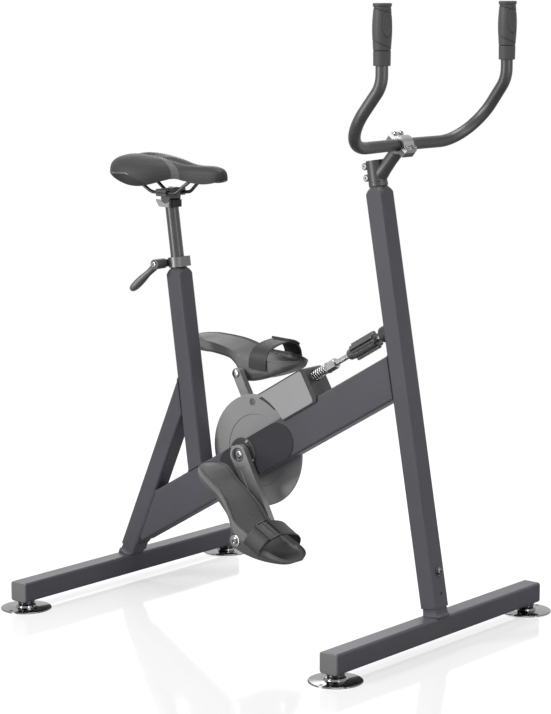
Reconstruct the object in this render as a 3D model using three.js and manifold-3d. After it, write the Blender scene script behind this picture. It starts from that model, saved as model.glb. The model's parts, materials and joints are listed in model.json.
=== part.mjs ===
// An aqua bike: a stationary pedal frame that stands on a pool floor.
// Millimetres, +Z up, the rider faces +X, and +Y is the rider's left.
// The origin is on the floor, in the middle of the four feet.
import * as THREE from "three";
import { mergeVertices } from "three/addons/utils/BufferGeometryUtils.js";
import Module from "manifold-3d";

const wasm = await Module();
wasm.setup();
const degrees = THREE.MathUtils.degToRad;

// Clearances, and the fineness of round forms
const seatGap = 0.3; // between pieces that rest on each other
const runGap = 1; // between a piece that turns and what it passes
const boreGap = 0.4; // round a shaft, post or bolt in its bore
const overrun = 6; // how far a cutting tool stands past what it cuts
const mergeReach = 0.001;
const roundSteps = 16;
const fineSteps = 24;
const smallSteps = 8;
const cornerSteps = 2;

// Square frame tube
const tubeSize = 40;
const tubeWall = 2;
const tubeCorner = 5;

// Base bars and their end caps
const barLength = 665; // over the caps
const barSpacing = 791; // between the centres of the two bars
const capFlange = 4;
const capEdge = 1.5;
const capPlugDepth = 8;

// Levelling feet
const footDiscRadius = 51;
const footDiscThick = 2.6;
const footDiscEdge = 0.9;
const footInset = 22.5; // from the end of the bar
const footCollarRadius = 20;
const footCollarHeight = 6;
const footCollarEdge = 1.2;
const footStudRadius = 8;
const footStudLength = 30;
const footNutAcross = 34;
const footNutHeight = 8.1;
const footHoleRadius = 3.5;
const footHoleAt = 43;

// Stubs on the bars, which the post and the strut sleeve over
const stubSize = 35.3;
const stubCorner = 4;
const stubLength = 110;
const weldFlare = 3;
const weldHeight = 8;
const pinUp = 84; // of the bolt through sleeve and stub
const pinHoleUp = 42; // of the spare hole under it
const pinHoleRadius = 3;
const pinRadius = 4;
const pinLength = 14;
const pinHeadRadius = 6.5;
const pinHeadHeight = 4.5;
const pinWasherRadius = 9;
const pinWasherThick = 1.6;

// Front post, which leans back, and the steerer tube in its neck
const postLean = degrees(10);
const postLength = 807; // from the bar to the shoulder
const sleeveRise = 16; // of the post's lower end above the bar
const shoulderHeight = 16;
const postNeckRadius = 17;
const headRingRadius = 18.5;
const headRingHeight = 8;
const steererRadius = 14.3;
const steererOut = 36;
const steererIn = 60;

// Main beam, which rises to the front post
const beamRise = degrees(30);
const beamDepth = 80;
const beamHeight = 336; // of its centre line over the origin

// Seat tube on the beam, and the rear strut behind it
const seatLean = degrees(8);
const seatBack = 200; // of its axis at seatOver, behind the origin
const seatOver = 65.47; // over the beam's centre line
const seatTubeTop = 376; // from there to the shoulder
const seatTubeBelow = 80;
const seatNeckRadius = 16;
const seatNeckHeight = 18;
const strutShift = 3; // of its foot, ahead of the bar's centre
const strutMeet = 161.7; // of its axis, up the seat tube's

// Crank axis, along and across the beam from the beam's point over the origin
const crankAlong = -67.4;
const crankAcross = 14.2;
const crankTurn = degrees(28.5);
const crankReach = 165;
const armThick = 14;
const armEyeRadius = 20;
const armTipRadius = 15;
const leftArmRoot = 12; // half the left arm's width at its eye
const leftArmTip = 10.5;
const armPanelDepth = 1;
const armPanelShare = 0.54; // of the tip's radius
const armPanelMargin = 5;
const armRecessRadius = 14.5;
const armRecessDepth = 4;
const axleRadius = 10;
const axleBoltRadius = 4;
const axleBoltHeadRadius = 11;
const axleBoltLength = 22;

// Bearing housing through the beam, with its doubler plate and cover
const housingTubeRadius = 23;
const bearingOuterRadius = 19;
const bearingWidth = 12;
const bearingGroove = 1.5;
const bearingLand = 3;
const doublerThick = 1.2;
const doublerBack = 75;
const doublerFront = 133;
const doublerMargin = 2; // from the beam's corners
const coverRadius = 33;
const coverThick = 1.8;
const coverHoleRadius = 15;

// Resistance disc and its hub
const discRadius = 114;
const discThick = 6;
const discGap = 2; // from the beam
const discPlateRadius = 73.5;
const discStep = 0.8;
const discEdge = 1;
const discHoleRadius = 8;
const discHoleAt = 98;
const discHoleTurn = degrees(97);
const hubRadius = 26;
const hubFlangeRadius = 42;
const hubFlangeThick = 5;
const leftArmOut = 50; // of the left arm's inner face from the middle

// Pedals, each in a frame with its origin on the spindle and its toe to +X
const rightPedalPitch = degrees(29);
const leftPedalPitch = degrees(2.5);
const pedalStandoff = 7.5; // from the arm's outer face
const pedalLength = 300;
const pedalWidth = 102;
const pedalHeight = 60; // of its highest rim over the spindle
// Stations from heel to toe: ahead of the spindle, out to the inner and outer sides, and up to the
// inner and outer rims and the underside, then the footbed's depth under the rims
const pedalStationShares = [
  [-0.6, 0.235, 0.373, 0.767, 0.767, 0.633, 0.017],
  [-0.59, 0.127, 0.471, 0.8, 0.8, 0.583, 0.025],
  [-0.563, 0.049, 0.578, 0.875, 0.842, 0.533, 0.033],
  [-0.527, 0.01, 0.662, 0.95, 0.883, 0.492, 0.033],
  [-0.48, 0, 0.725, 1, 0.908, 0.467, 0.033],
  [-0.427, 0, 0.765, 0.95, 0.925, 0.45, 0.033],
  [-0.373, 0, 0.784, 0.867, 0.925, 0.442, 0.033],
  [-0.3, 0, 0.804, 0.825, 0.917, 0.45, 0.033],
  [-0.227, 0, 0.858, 0.783, 0.875, 0.425, 0.033],
  [-0.167, 0, 0.912, 0.733, 0.8, 0.392, 0.042],
  [-0.127, 0, 0.951, 0.683, 0.733, 0.333, 0.05],
  [-0.08, 0, 0.985, 0.608, 0.65, 0.158, 0.075],
  [-0.04, 0, 1, 0.55, 0.6, -0.133, 0.1],
  [0, 0, 1, 0.517, 0.583, -0.3, 0.125],
  [0.04, 0, 1, 0.5, 0.583, -0.3, 0.167],
  [0.1, 0, 1, 0.5, 0.583, -0.233, 0.233],
  [0.167, 0, 0.99, 0.508, 0.583, -0.125, 0.283],
  [0.233, 0.01, 0.941, 0.542, 0.55, 0, 0.3],
  [0.293, 0.059, 0.863, 0.583, 0.517, 0.133, 0.267],
  [0.34, 0.137, 0.765, 0.617, 0.517, 0.25, 0.217],
  [0.373, 0.255, 0.667, 0.633, 0.533, 0.35, 0.15],
  [0.393, 0.363, 0.578, 0.617, 0.55, 0.45, 0.083],
  [0.398, 0.422, 0.52, 0.6, 0.567, 0.517, 0.05],
];
// Round each station: the share outward, and a level from underside 0 by rim 1 to footbed 2
const pedalSectionShares = [[0.45, 0], [0.82, 0], [0.93, 0.3], [1, 0.88], [0.985, 1], [0.94, 1]]
  .concat([[0.88, 1.8], [0.5, 2], [0.12, 1.8], [0.06, 1], [0.015, 1], [0, 0.88], [0.03, 0.3], [0.1, 0]]);
const spindleRadius = 7;
const spindleFlangeRadius = 15.5;
const spindleInset = 9; // of the washer's seat from the pedal's outer edge
const spindleHeadRadius = 8; // of the left spindle's head inside its arm
const spindleHeadHeight = 4;
const spindleNutRadius = 6;
const spindleNutLength = 5;
const spindleWasherRadius = 11.5;
const spindleWasherThick = 2;
const strapWidth = 45;
const strapThick = 3;
const strapForward = 47.5; // of its outer leg's middle, ahead of the spindle
const leftStrapSkew = -8; // of the inner leg, farther ahead
const rightStrapSkew = 10;
const strapSide = 0.75; // from the pedal's edges
const strapHeight = 65; // of its top over the spindle
// Over the foot, from the inner side: shares outward from the pedal's middle, and of the height
const strapPathShares = [[-1, 0.18], [-1, 0.36], [-0.98, 0.53], [-0.9, 0.68], [-0.73, 0.81], [-0.48, 0.9]]
  .concat([[-0.18, 0.96], [0.18, 0.99], [0.5, 0.95], [0.78, 0.82], [0.93, 0.65], [0.995, 0.45], [1, 0.27]]);
const strapSteps = 20;
const buckleAt = 0.68; // share of the way along the strap
const buckleWidth = 49;
const buckleLength = 35;
const buckleThick = 4;
const buckleFrame = 5;
const buckleBar = 4;

// Brake, in a frame with X along the beam from the crank axis, Y to the left and Z across
const housingFront = 230;
const housingTop = 103;
const housingSide = 23.2; // of its right side from the middle
const housingLeft = 33;
const housingWall = 3;
const housingNose = 15; // of its solid front
const housingRound = 9;
const housingSkirt = 31; // of its lower edge beside the beam
const housingArc = 131; // of its hollow edge round the crank axis
const coverPlateThick = 1.2;
const coverPlateInset = 2;
const coverPlateFront = 219;
const rodHeight = 82;
const rodSide = 3; // to the left of the middle
const rodRadius = 5.5;
const rodStart = 118;
const rodShort = 9.9; // of the post's rear face
const shoeGap = 3.6; // from the disc
const shoeRight = -9;
const shoeLeft = 29;
const shoeBottom = 62;
const shoeTop = 98;
const shoeFront = 150;
const springRadius = 8.5; // of the wire's middle
const springWire = 1.2;
const springTurns = 8;
const springSteps = 8; // to a turn
const springSides = 5;
const springWell = 9;
const springWellRadius = 12;
const springEnd = 265;
const lockNutAcross = 19;
const lockNutEnd = 290;
const lockFlangeRadius = 11.5;
const lockFlangeThick = 3;
const knobLength = 76;
const knobBack = 102; // of its lower end from the rod's upper end
const knobRadius = 18;
const knobLobes = 4;
const knobFluteShare = 0.22; // of the radius
const knobPoints = 20;
// Along the knob: the share of its length, and of the radius
const knobRingShares = [[0, 0.5], [0.04, 0.6], [0.16, 0.66], [0.25, 0.94], [0.3, 1], [0.9, 1], [0.97, 0.93]]
  .concat([[1, 0.8]]);
const socketRadius = 16.5;
const socketReach = 22.9; // along the rod's axis from the post's rear face
const socketLand = 6;
const socketSeat = 10.5; // of its flat end

// Seat post, collar and clamp lever
const seatPostRadius = 13.6;
const seatPostIn = 190; // below the neck's top
const collarHeight = 20.6;
const collarWall = 3.4;
const collarSlot = 1.5; // half its width
const collarEar = 14;
const collarEarReach = 32;
const collarEarRise = 7.5; // half its height
const collarFlat = 15; // half the width of its flat front
const collarFlatReach = 21;
const leverAxisBack = 24.5;
const leverHubRadius = 10.3;
const leverHubStart = -15.5;
const leverHubEnd = -46;
const leverTurn = degrees(44);
const leverReach = 77;
const leverSide = 55; // of its end, to the right
const leverWidth = 19;
const leverThick = 18;
// Up the lever from its end: shares of its reach, its offset sideways, its width and its thickness
const leverRingShares = [[1, 1, 0.47, 0.38], [0.96, 1, 0.79, 0.7], [0.85, 0.97, 1, 0.9]]
  .concat([[0.55, 0.87, 1, 0.95], [0.3, 0.76, 0.9, 0.75], [0, 0.67, 0.9, 0.85]]);
const leverRound = 0.45; // share of its thickness
const leverBoltRadius = 4;
const leverBoltHeadRadius = 5.5;
const leverBoltHeadHeight = 2.5;
const leverNutRadius = 7.5;
const leverNutLength = 6;

// Post head, cradle and clamp, in a level frame on the seat tube's axis
const headLevel = 816; // of the axis on which the saddle tilts
const headBack = 29;
const headFront = 20;
const headBottom = -20;
const headTop = -5;
const headHalf = 17; // half its width
const headChin = 9;
const cradleRadius = 12;
const cradleHalf = 31; // half its width
const cradleReach = 13; // half its length
const cradleUnder = 3;
const railRise = 10;
const railRadius = 3.5;
const railHalfSpacing = 22;
const clampThick = 7;
const clampBoltRadius = 3;
const clampBoltHeadRadius = 5.5;
const clampBoltHeadHeight = 3;
const clampBoltDepth = 6; // of its tip below the tilt axis

// Saddle, in shares of its sizes, ahead of and over the axis on which it tilts
const saddleLength = 270.6;
const saddleWide = 80; // half its width
const saddleTop = 86.6; // over that axis
const channelDeep = 8.6;
const railClimb = 35; // of its ends over its straight parts
// The rail from the left rear end to the nose: ahead, to the left and up
const railPathShares = [
  [-0.286, 1.318, 0.971],
  [-0.235, 1.182, 0.571],
  [-0.176, 1.068, 0.269],
  [-0.131, 1.01, 0.06],
  [-0.105, 1, 0],
  [-0.095, 1, 0],
  [-0.061, 1, 0],
  [0.046, 1, 0],
  [0.102, 1, 0],
  [0.135, 0.973, 0.1],
  [0.194, 0.841, 0.457],
  [0.249, 0.705, 0.76],
  [0.29, 0.564, 0.926],
  [0.327, 0.318, 0.989],
  [0.338, 0, 1],
];
const railSteps = 40;
const railSides = 6;
// The cushion from nose to tail: ahead, half its width, its edge, its top and its channel's depth
const saddleStationShares = [
  [0.555, 0.087, 0.525, 0.612, 0],
  [0.545, 0.156, 0.473, 0.676, 0],
  [0.523, 0.212, 0.433, 0.722, 0],
  [0.482, 0.256, 0.404, 0.762, 0],
  [0.43, 0.285, 0.386, 0.789, 0.07],
  [0.36, 0.312, 0.374, 0.804, 0.279],
  [0.283, 0.35, 0.398, 0.806, 0.535],
  [0.212, 0.406, 0.45, 0.812, 0.721],
  [0.142, 0.5, 0.473, 0.837, 0.86],
  [0.068, 0.644, 0.416, 0.883, 0.93],
  [-0.006, 0.794, 0.341, 0.924, 0.977],
  [-0.08, 0.906, 0.294, 0.954, 1],
  [-0.161, 0.981, 0.312, 0.982, 1],
  [-0.242, 1, 0.381, 1, 0.953],
  [-0.316, 0.963, 0.462, 0.993, 0.814],
  [-0.379, 0.856, 0.537, 0.958, 0.581],
  [-0.419, 0.713, 0.6, 0.912, 0.349],
  [-0.445, 0.475, 0.681, 0.837, 0.093],
];
const saddlePoints = 14;
const hollowPoints = 8; // of the cushion's hollow and of the shell
const saddleBulge = 2.7;
const saddleLeast = 0.25; // share of a station that a hollow keeps
const channelWidth = 11;
const padSide = 4;
const padTop = 15;
const padEnd = 6;
const shellThick = 2;
const shellUp = 2.5; // of the shell's edge above the pad's
// Bosses for the rail: ahead from and to, to the sides, up from and to
const noseBossShares = [0.297, 0.371, 0.163, 0.439, 0.855];
const tailBossShares = [-0.32, -0.253, 0.25, 0.463, 0.404, 1.028];

// Handlebar, with its middle's place from the steerer's axis and the stem's lower end
const barRadius = 11.4;
const barAhead = 66.3;
const barRise = 61.9;
const barStraight = 40; // of the middle part, to each side
const barSweep = 10; // ahead from the middle to each lower bend's corner
const barHalf = 205.7; // from the middle to that corner
const barMiddleBend = 200;
const barLowerBend = 78;
const barUpperBend = 28;
const barUpperCorner = 119.4; // of each upper bend's corner over the middle
const bendStep = degrees(8.5);
const handlebarSides = 10;
const gripAhead = 100.3; // of the middle
const gripSide = 197.3;
const gripRise = 154.6; // of its lower end over the middle
const gripLength = 110;
const gripRadius = 15.8;
const gripEndShare = 0.94; // of its radius at its lower end
const gripRim = 1.6;
const gripRimWide = 5;
const gripEnd = 3;
const gripBoreGap = 1;

// Stem, in the post's frame
const stemBottomGap = 0.3;
const stemClampRadius = 18;
const stemClampHeight = 41;
const stemArmAt = 6; // of the arm's axis over the clamp's lower end
const stemArmRadius = 15;
const stemEarReach = 27;
const stemEarHalf = 9;
const stemSlot = 1.2; // half its width
const stemBoltRadius = 3.2;
const stemBoltOut = 3;
const stemBoltInset = 9.5;
const barClampRadius = 18;
const barClampHalf = 16; // half its width
const barEarRise = 25; // of the ears for the faceplate's bolts
const faceplateGap = 1.2;
const faceplateBoltSide = 9.8;
const faceplateBoltRise = 19.8;
const faceplateBoltRadius = 4;
const faceplateBoltOut = 4;

const paint = new THREE.MeshStandardMaterial({ color: 0x55555d, roughness: 0.45, metalness: 0.2 });
const greyPlastic = new THREE.MeshStandardMaterial({ color: 0x6c6e6d, roughness: 0.6, metalness: 0 });
const blackPlastic = new THREE.MeshStandardMaterial({ color: 0x2c2d2e, roughness: 0.5, metalness: 0 });
const palePlastic = new THREE.MeshStandardMaterial({ color: 0x9c9c9c, roughness: 0.5, metalness: 0 });
const satinAlloy = new THREE.MeshStandardMaterial({ color: 0x858785, roughness: 0.4, metalness: 0.7 });
const polishedSteel = new THREE.MeshStandardMaterial({ color: 0xc8c8c8, roughness: 0.15, metalness: 1 });
const blackMetal = new THREE.MeshStandardMaterial({ color: 0x303132, roughness: 0.35, metalness: 0.5 });
const darkRubber = new THREE.MeshStandardMaterial({ color: 0x4d4f50, roughness: 0.8, metalness: 0 });
const webbing = new THREE.MeshStandardMaterial({ color: 0x3c3e3f, roughness: 0.9, metalness: 0 });
const saddleSkin = new THREE.MeshStandardMaterial({ color: 0x46484a, roughness: 0.7, metalness: 0 });

// A closed geometry as a solid that can be joined and cut.
function solidOf(geometry) {
  const bare = geometry.clone();
  bare.deleteAttribute("normal");
  bare.deleteAttribute("uv");
  const merged = mergeVertices(bare, mergeReach);
  const corners = merged.index.array;
  const kept = [];
  for (let i = 0; i < corners.length; i += 3) {
    const [a, b, c] = [corners[i], corners[i + 1], corners[i + 2]];
    if (a !== b && b !== c && c !== a) kept.push(a, b, c);
  }
  return new wasm.Manifold(
    new wasm.Mesh({
      numProp: 3,
      vertProperties: merged.attributes.position.array,
      triVerts: new Uint32Array(kept),
    }),
  );
}

// A solid as a geometry that three.js can draw.
function geometryOf(solid) {
  const mesh = solid.getMesh();
  const places = new Float32Array(mesh.numVert * 3);
  for (let i = 0; i < mesh.numVert; i++) {
    places.set(mesh.vertProperties.subarray(i * mesh.numProp, i * mesh.numProp + 3), i * 3);
  }
  const geometry = new THREE.BufferGeometry();
  geometry.setAttribute("position", new THREE.BufferAttribute(places, 3));
  geometry.setIndex(new THREE.BufferAttribute(mesh.triVerts, 1));
  const flat = geometry.toNonIndexed();
  flat.computeVertexNormals();
  return flat;
}

function cut(geometry, ...tools) {
  let solid = solidOf(geometry);
  for (const tool of tools) solid = solid.subtract(solidOf(tool));
  return geometryOf(solid);
}

function join(geometry, ...others) {
  let solid = solidOf(geometry);
  for (const other of others) solid = solid.add(solidOf(other));
  return geometryOf(solid);
}

function keep(geometry, ...masks) {
  let solid = solidOf(geometry);
  for (const mask of masks) solid = solid.intersect(solidOf(mask));
  return geometryOf(solid);
}

function add(group, name, geometry, material) {
  const mesh = new THREE.Mesh(geometry, material);
  mesh.name = name;
  group.add(mesh);
  return mesh;
}

// A block between two corners.
function block(x0, x1, y0, y1, z0, z1) {
  const box = new THREE.BoxGeometry(x1 - x0, y1 - y0, z1 - z0);
  return box.translate((x0 + x1) / 2, (y0 + y1) / 2, (z0 + z1) / 2);
}

// A rod along Z from z0 to z1.
function rod(radius, z0, z1, steps = roundSteps) {
  const cylinder = new THREE.CylinderGeometry(radius, radius, z1 - z0, steps);
  return cylinder.rotateX(Math.PI / 2).translate(0, 0, (z0 + z1) / 2);
}

// A rod along Y from y0 to y1, about a point of the XZ plane.
function crossRod(radius, y0, y1, x = 0, z = 0, steps = roundSteps) {
  const cylinder = new THREE.CylinderGeometry(radius, radius, y1 - y0, steps);
  return cylinder.translate(x, (y0 + y1) / 2, z);
}

// A turned form about Z, from [radius, height] pairs that go up its outside.
function turnedForm(profile, steps = roundSteps) {
  const points = profile.map(([radius, height]) => new THREE.Vector2(radius, height));
  return new THREE.LatheGeometry(points, steps).rotateX(Math.PI / 2);
}

// The same about Y.
function turnedAcross(profile, steps = roundSteps) {
  const points = profile.map(([radius, height]) => new THREE.Vector2(radius, height));
  return new THREE.LatheGeometry(points, steps);
}

// A rectangle with round corners, centred on a point.
function roundedOutline(width, height, radius, x = 0, y = 0) {
  const shape = new THREE.Shape();
  const [w, h] = [width / 2, height / 2];
  shape.moveTo(x + w, y - h + radius);
  shape.absarc(x + w - radius, y + h - radius, radius, 0, Math.PI / 2);
  shape.absarc(x - w + radius, y + h - radius, radius, Math.PI / 2, Math.PI);
  shape.absarc(x - w + radius, y - h + radius, radius, Math.PI, Math.PI * 1.5);
  shape.absarc(x + w - radius, y - h + radius, radius, Math.PI * 1.5, Math.PI * 2);
  return shape;
}

function extruded(shape, z0, z1, steps = cornerSteps) {
  const options = { depth: z1 - z0, bevelEnabled: false, curveSegments: steps };
  return new THREE.ExtrudeGeometry(shape, options).translate(0, 0, z0);
}

// An outline of the XZ plane, given as a shape in x and z, between two values of y.
function sideExtruded(shape, y0, y1, steps = cornerSteps) {
  const options = { depth: y1 - y0, bevelEnabled: false, curveSegments: steps };
  return new THREE.ExtrudeGeometry(shape, options).rotateX(Math.PI / 2).translate(0, y1, 0);
}

// A ring of points with round corners at a height, anticlockwise from above.
function squareRing(width, depth, radius, height, steps = cornerSteps) {
  const ring = [];
  const centres = [[1, 1], [-1, 1], [-1, -1], [1, -1]];
  centres.forEach(([sx, sy], corner) => {
    for (let i = 0; i <= steps; i++) {
      const turn = (corner + i / steps) * (Math.PI / 2);
      const x = sx * (width / 2 - radius) + radius * Math.cos(turn);
      const y = sy * (depth / 2 - radius) + radius * Math.sin(turn);
      ring.push(new THREE.Vector3(x, y, height));
    }
  });
  return ring;
}

// A closed skin over rings that hold the same number of points.
function lofted(rings) {
  const count = rings[0].length;
  const places = rings.flat().flatMap((point) => [point.x, point.y, point.z]);
  const corners = [];
  for (let i = 0; i + 1 < rings.length; i++) {
    for (let j = 0; j < count; j++) {
      const next = (j + 1) % count;
      const [a, b] = [i * count + j, i * count + next];
      corners.push(a, b, b + count, a, b + count, a + count);
    }
  }
  const last = (rings.length - 1) * count;
  for (const [start, flip] of [[0, true], [last, false]]) {
    const ring = rings[start / count];
    const middle = new THREE.Vector3();
    ring.forEach((point) => middle.addScaledVector(point, 1 / count));
    const hub = places.length / 3;
    places.push(middle.x, middle.y, middle.z);
    for (let j = 0; j < count; j++) {
      const [a, b] = [start + j, start + ((j + 1) % count)];
      corners.push(hub, flip ? b : a, flip ? a : b);
    }
  }
  const geometry = new THREE.BufferGeometry();
  geometry.setAttribute("position", new THREE.Float32BufferAttribute(places, 3));
  geometry.setIndex(corners);
  return geometry;
}

// A hexagonal prism along Z.
function hexPrism(across, z0, z1) {
  return rod(across / Math.sqrt(3), z0, z1, 6);
}

// Moves a geometry from one group's frame into another's.
function intoFrame(target, source, geometry) {
  target.updateWorldMatrix(true, false);
  source.updateWorldMatrix(true, false);
  const shift = target.matrixWorld.clone().invert().multiply(source.matrixWorld);
  return geometry.applyMatrix4(shift);
}

function frameAt(parent, x, y, z, turn = 0) {
  const group = new THREE.Group();
  group.position.set(x, y, z);
  group.rotation.y = turn;
  parent.add(group);
  return group;
}

const bike = new THREE.Group();

// Heights that follow from the feet
const footTop = footDiscThick + footCollarHeight;
const barBottom = footTop + seatGap + footNutHeight;
const barTop = barBottom + tubeSize;
const barMiddle = barBottom + tubeSize / 2;
const ground = frameAt(bike, 0, 0, 0);

// Groups whose Z runs up the post, the seat tube and the strut, and whose X runs up the beam
const postFrame = frameAt(bike, barSpacing / 2, 0, barTop, -postLean);
const beamFrame = frameAt(bike, 0, 0, beamHeight, -beamRise);
const seatHeight = beamHeight - seatBack * Math.tan(beamRise) + seatOver;
const seatFrame = frameAt(bike, -seatBack, 0, seatHeight, -seatLean);
const strutFoot = new THREE.Vector2(-barSpacing / 2 + strutShift, barTop);
const strutTop = new THREE.Vector2(
  -seatBack - strutMeet * Math.sin(seatLean),
  seatHeight + strutMeet * Math.cos(seatLean),
);
const strutLean = Math.atan2(strutTop.x - strutFoot.x, strutTop.y - strutFoot.y);
const strutLength = strutTop.distanceTo(strutFoot) + tubeSize;
const strutFrame = frameAt(bike, strutFoot.x, 0, strutFoot.y, strutLean);

// One foot: a disc with a collar, and a stud that screws into the bar.
function footForm() {
  const studTop = footTop + footStudLength;
  const profile = [
    [0, 0],
    [footDiscRadius - footDiscEdge, 0],
    [footDiscRadius, footDiscEdge],
    [footDiscRadius, footDiscThick],
    [footCollarRadius, footDiscThick],
    [footCollarRadius, footTop - footCollarEdge],
    [footCollarRadius - footCollarEdge, footTop],
    [footStudRadius, footTop],
    [footStudRadius, studTop],
    [0, studTop],
  ];
  const hole = rod(footHoleRadius, -overrun, footDiscThick + overrun, smallSteps);
  return cut(turnedForm(profile, fineSteps), hole.translate(0, footHoleAt, 0));
}

// A base bar with the two nuts under it.
function barForm() {
  const half = barLength / 2 - capFlange - seatGap;
  const outline = roundedOutline(tubeSize, tubeSize, tubeCorner);
  const inner = tubeSize - 2 * tubeWall;
  outline.holes.push(roundedOutline(inner, inner, tubeCorner - tubeWall));
  let bar = sideExtruded(outline, -half, half);
  for (const end of [-1, 1]) {
    const y = end * (barLength / 2 - footInset);
    const nut = hexPrism(footNutAcross, -tubeSize / 2 - footNutHeight, -tubeSize / 2 + tubeWall / 2);
    bar = join(bar, nut.rotateZ(Math.PI / 6).translate(0, y, 0));
    const reach = footNutHeight + tubeWall + overrun;
    const bore = rod(footStudRadius + boreGap, -tubeSize / 2 - reach, -tubeSize / 2 + reach);
    bar = cut(bar, bore.translate(0, y, 0));
  }
  return bar;
}

// An end cap that points to +Z, with its plug below.
function capForm() {
  const inner = tubeSize - 2 * tubeWall - 2 * boreGap;
  const flange = lofted([
    squareRing(tubeSize, tubeSize, tubeCorner, 0),
    squareRing(tubeSize, tubeSize, tubeCorner, capFlange - capEdge),
    squareRing(tubeSize - capEdge, tubeSize - capEdge, tubeCorner - capEdge / 2, capFlange),
  ]);
  const plug = extruded(roundedOutline(inner, inner, tubeCorner - tubeWall), -capPlugDepth, capEdge);
  return join(flange, plug);
}

const ends = [["front", 1], ["rear", -1]];
const sides = [["left", 1], ["right", -1]];
for (const [end, sx] of ends) {
  const x = (sx * barSpacing) / 2;
  add(ground, end + "_base_bar", barForm().translate(x, 0, barMiddle), paint);
  for (const [side, sy] of sides) {
    const y = sy * (barLength / 2 - footInset);
    const foot = footForm();
    if (sy < 0) foot.rotateZ(Math.PI);
    add(ground, end + "_" + side + "_foot", foot.translate(x, y, 0), polishedSteel);
    const cap = capForm().rotateX((-sy * Math.PI) / 2);
    cap.translate(x, sy * (barLength / 2 - capFlange), barMiddle);
    add(ground, end + "_" + side + "_cap", cap, greyPlastic);
  }
}

// A hole for the bolt or the spare hole, at a height on a sleeve's front face.
function frontHole(radius, up) {
  return rod(radius, 0, tubeSize, smallSteps).rotateY(Math.PI / 2).translate(0, 0, up);
}

// A stub with its weld, cut level on top of a bar.
function stubForm(frame, ...holes) {
  const flareBottom = -stubSize / 2;
  const wide = stubSize + 2 * weldFlare;
  const flare = lofted([
    squareRing(wide, wide, stubCorner + weldFlare, flareBottom),
    squareRing(wide, wide, stubCorner + weldFlare, 0),
    squareRing(stubSize, stubSize, stubCorner, weldHeight),
    squareRing(stubSize, stubSize, stubCorner, weldHeight + overrun),
  ]);
  const tube = extruded(roundedOutline(stubSize, stubSize, stubCorner), flareBottom, stubLength);
  const inner = stubSize - 2 * tubeWall;
  const hollow = roundedOutline(inner, inner, stubCorner - tubeWall);
  const bore = extruded(hollow, sleeveRise, stubLength + overrun);
  const reach = stubSize + overrun;
  const below = block(-reach, reach, -reach, reach, -reach - overrun, seatGap);
  const level = new THREE.Group();
  level.position.set(frame.position.x, 0, barTop);
  return cut(
    join(tube, flare),
    bore,
    ...holes,
    intoFrame(frame, level, below),
  );
}

// The bolt, with its washer, through the post's sleeve and its stub.
function pinForm() {
  const face = tubeSize / 2 + seatGap;
  const profile = [
    [0, face - pinLength],
    [pinRadius, face - pinLength],
    [pinRadius, face],
    [pinWasherRadius, face],
    [pinWasherRadius, face + pinWasherThick],
    [pinHeadRadius, face + pinWasherThick],
    [pinHeadRadius, face + pinWasherThick + pinHeadHeight],
    [0, face + pinWasherThick + pinHeadHeight],
  ];
  return turnedForm(profile, smallSteps).rotateY(Math.PI / 2).translate(0, 0, pinUp);
}

// The hollow of a square tube.
function hollowForm(bottom, top) {
  const inner = tubeSize - 2 * tubeWall;
  return extruded(roundedOutline(inner, inner, tubeCorner - tubeWall), bottom, top);
}

// A square tube whose top draws in to a round neck.
function shoulderedTube(bottom, top, neckRadius, neckTop) {
  const drawn = tubeSize - weldFlare;
  return lofted([
    squareRing(tubeSize, tubeSize, tubeCorner, bottom),
    squareRing(tubeSize, tubeSize, tubeCorner, top),
    squareRing(drawn, drawn, tubeCorner + weldFlare, top + shoulderHeight / 3),
    squareRing(2 * neckRadius, 2 * neckRadius, neckRadius, top + shoulderHeight),
    squareRing(2 * neckRadius, 2 * neckRadius, neckRadius, neckTop),
  ]);
}

const pinHole = frontHole(pinRadius + boreGap, pinUp);
add(postFrame, "front_stub", stubForm(postFrame, pinHole), paint);
add(strutFrame, "rear_stub", stubForm(strutFrame), paint);
add(postFrame, "post_bolt", pinForm(), polishedSteel);

const postTop = postLength + shoulderHeight;
const steererBore = rod(steererRadius + boreGap, postLength - steererIn - overrun, postTop + overrun);
add(
  postFrame,
  "front_post",
  cut(
    shoulderedTube(sleeveRise, postLength, postNeckRadius, postTop),
    hollowForm(-overrun, postLength - tubeSize),
    pinHole,
    frontHole(pinHoleRadius, pinHoleUp),
    steererBore,
  ),
  paint,
);
const ringBottom = postTop + seatGap;
const steererTop = ringBottom + headRingHeight + steererOut;
add(
  postFrame,
  "steerer_tube",
  turnedForm([
    [0, postLength - steererIn],
    [steererRadius, postLength - steererIn],
    [steererRadius, ringBottom],
    [headRingRadius, ringBottom],
    [headRingRadius, ringBottom + headRingHeight],
    [steererRadius, ringBottom + headRingHeight],
    [steererRadius, steererTop],
    [0, steererTop],
  ]),
  blackMetal,
);

// The beam runs from the strut's front face to the post's rear face.
function beamForm() {
  const reach = barSpacing;
  const inner = [tubeSize - 2 * tubeWall, beamDepth - 2 * tubeWall, tubeCorner - tubeWall];
  const outline = roundedOutline(tubeSize, beamDepth, tubeCorner);
  outline.holes.push(roundedOutline(...inner));
  const beam = extruded(outline, -reach, reach).rotateZ(Math.PI / 2).rotateY(Math.PI / 2);
  const half = tubeSize / 2 + seatGap;
  const ahead = block(-half, reach, -tubeSize, tubeSize, -reach, reach);
  const behind = block(-reach, half, -tubeSize, tubeSize, -reach, reach);
  const hole = crossRod(housingTubeRadius + seatGap, -tubeSize, tubeSize, crankAlong, crankAcross);
  return cut(
    beam,
    intoFrame(beamFrame, postFrame, ahead),
    intoFrame(beamFrame, strutFrame, behind),
    hole,
  );
}
add(beamFrame, "main_beam", beamForm(), paint);

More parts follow.
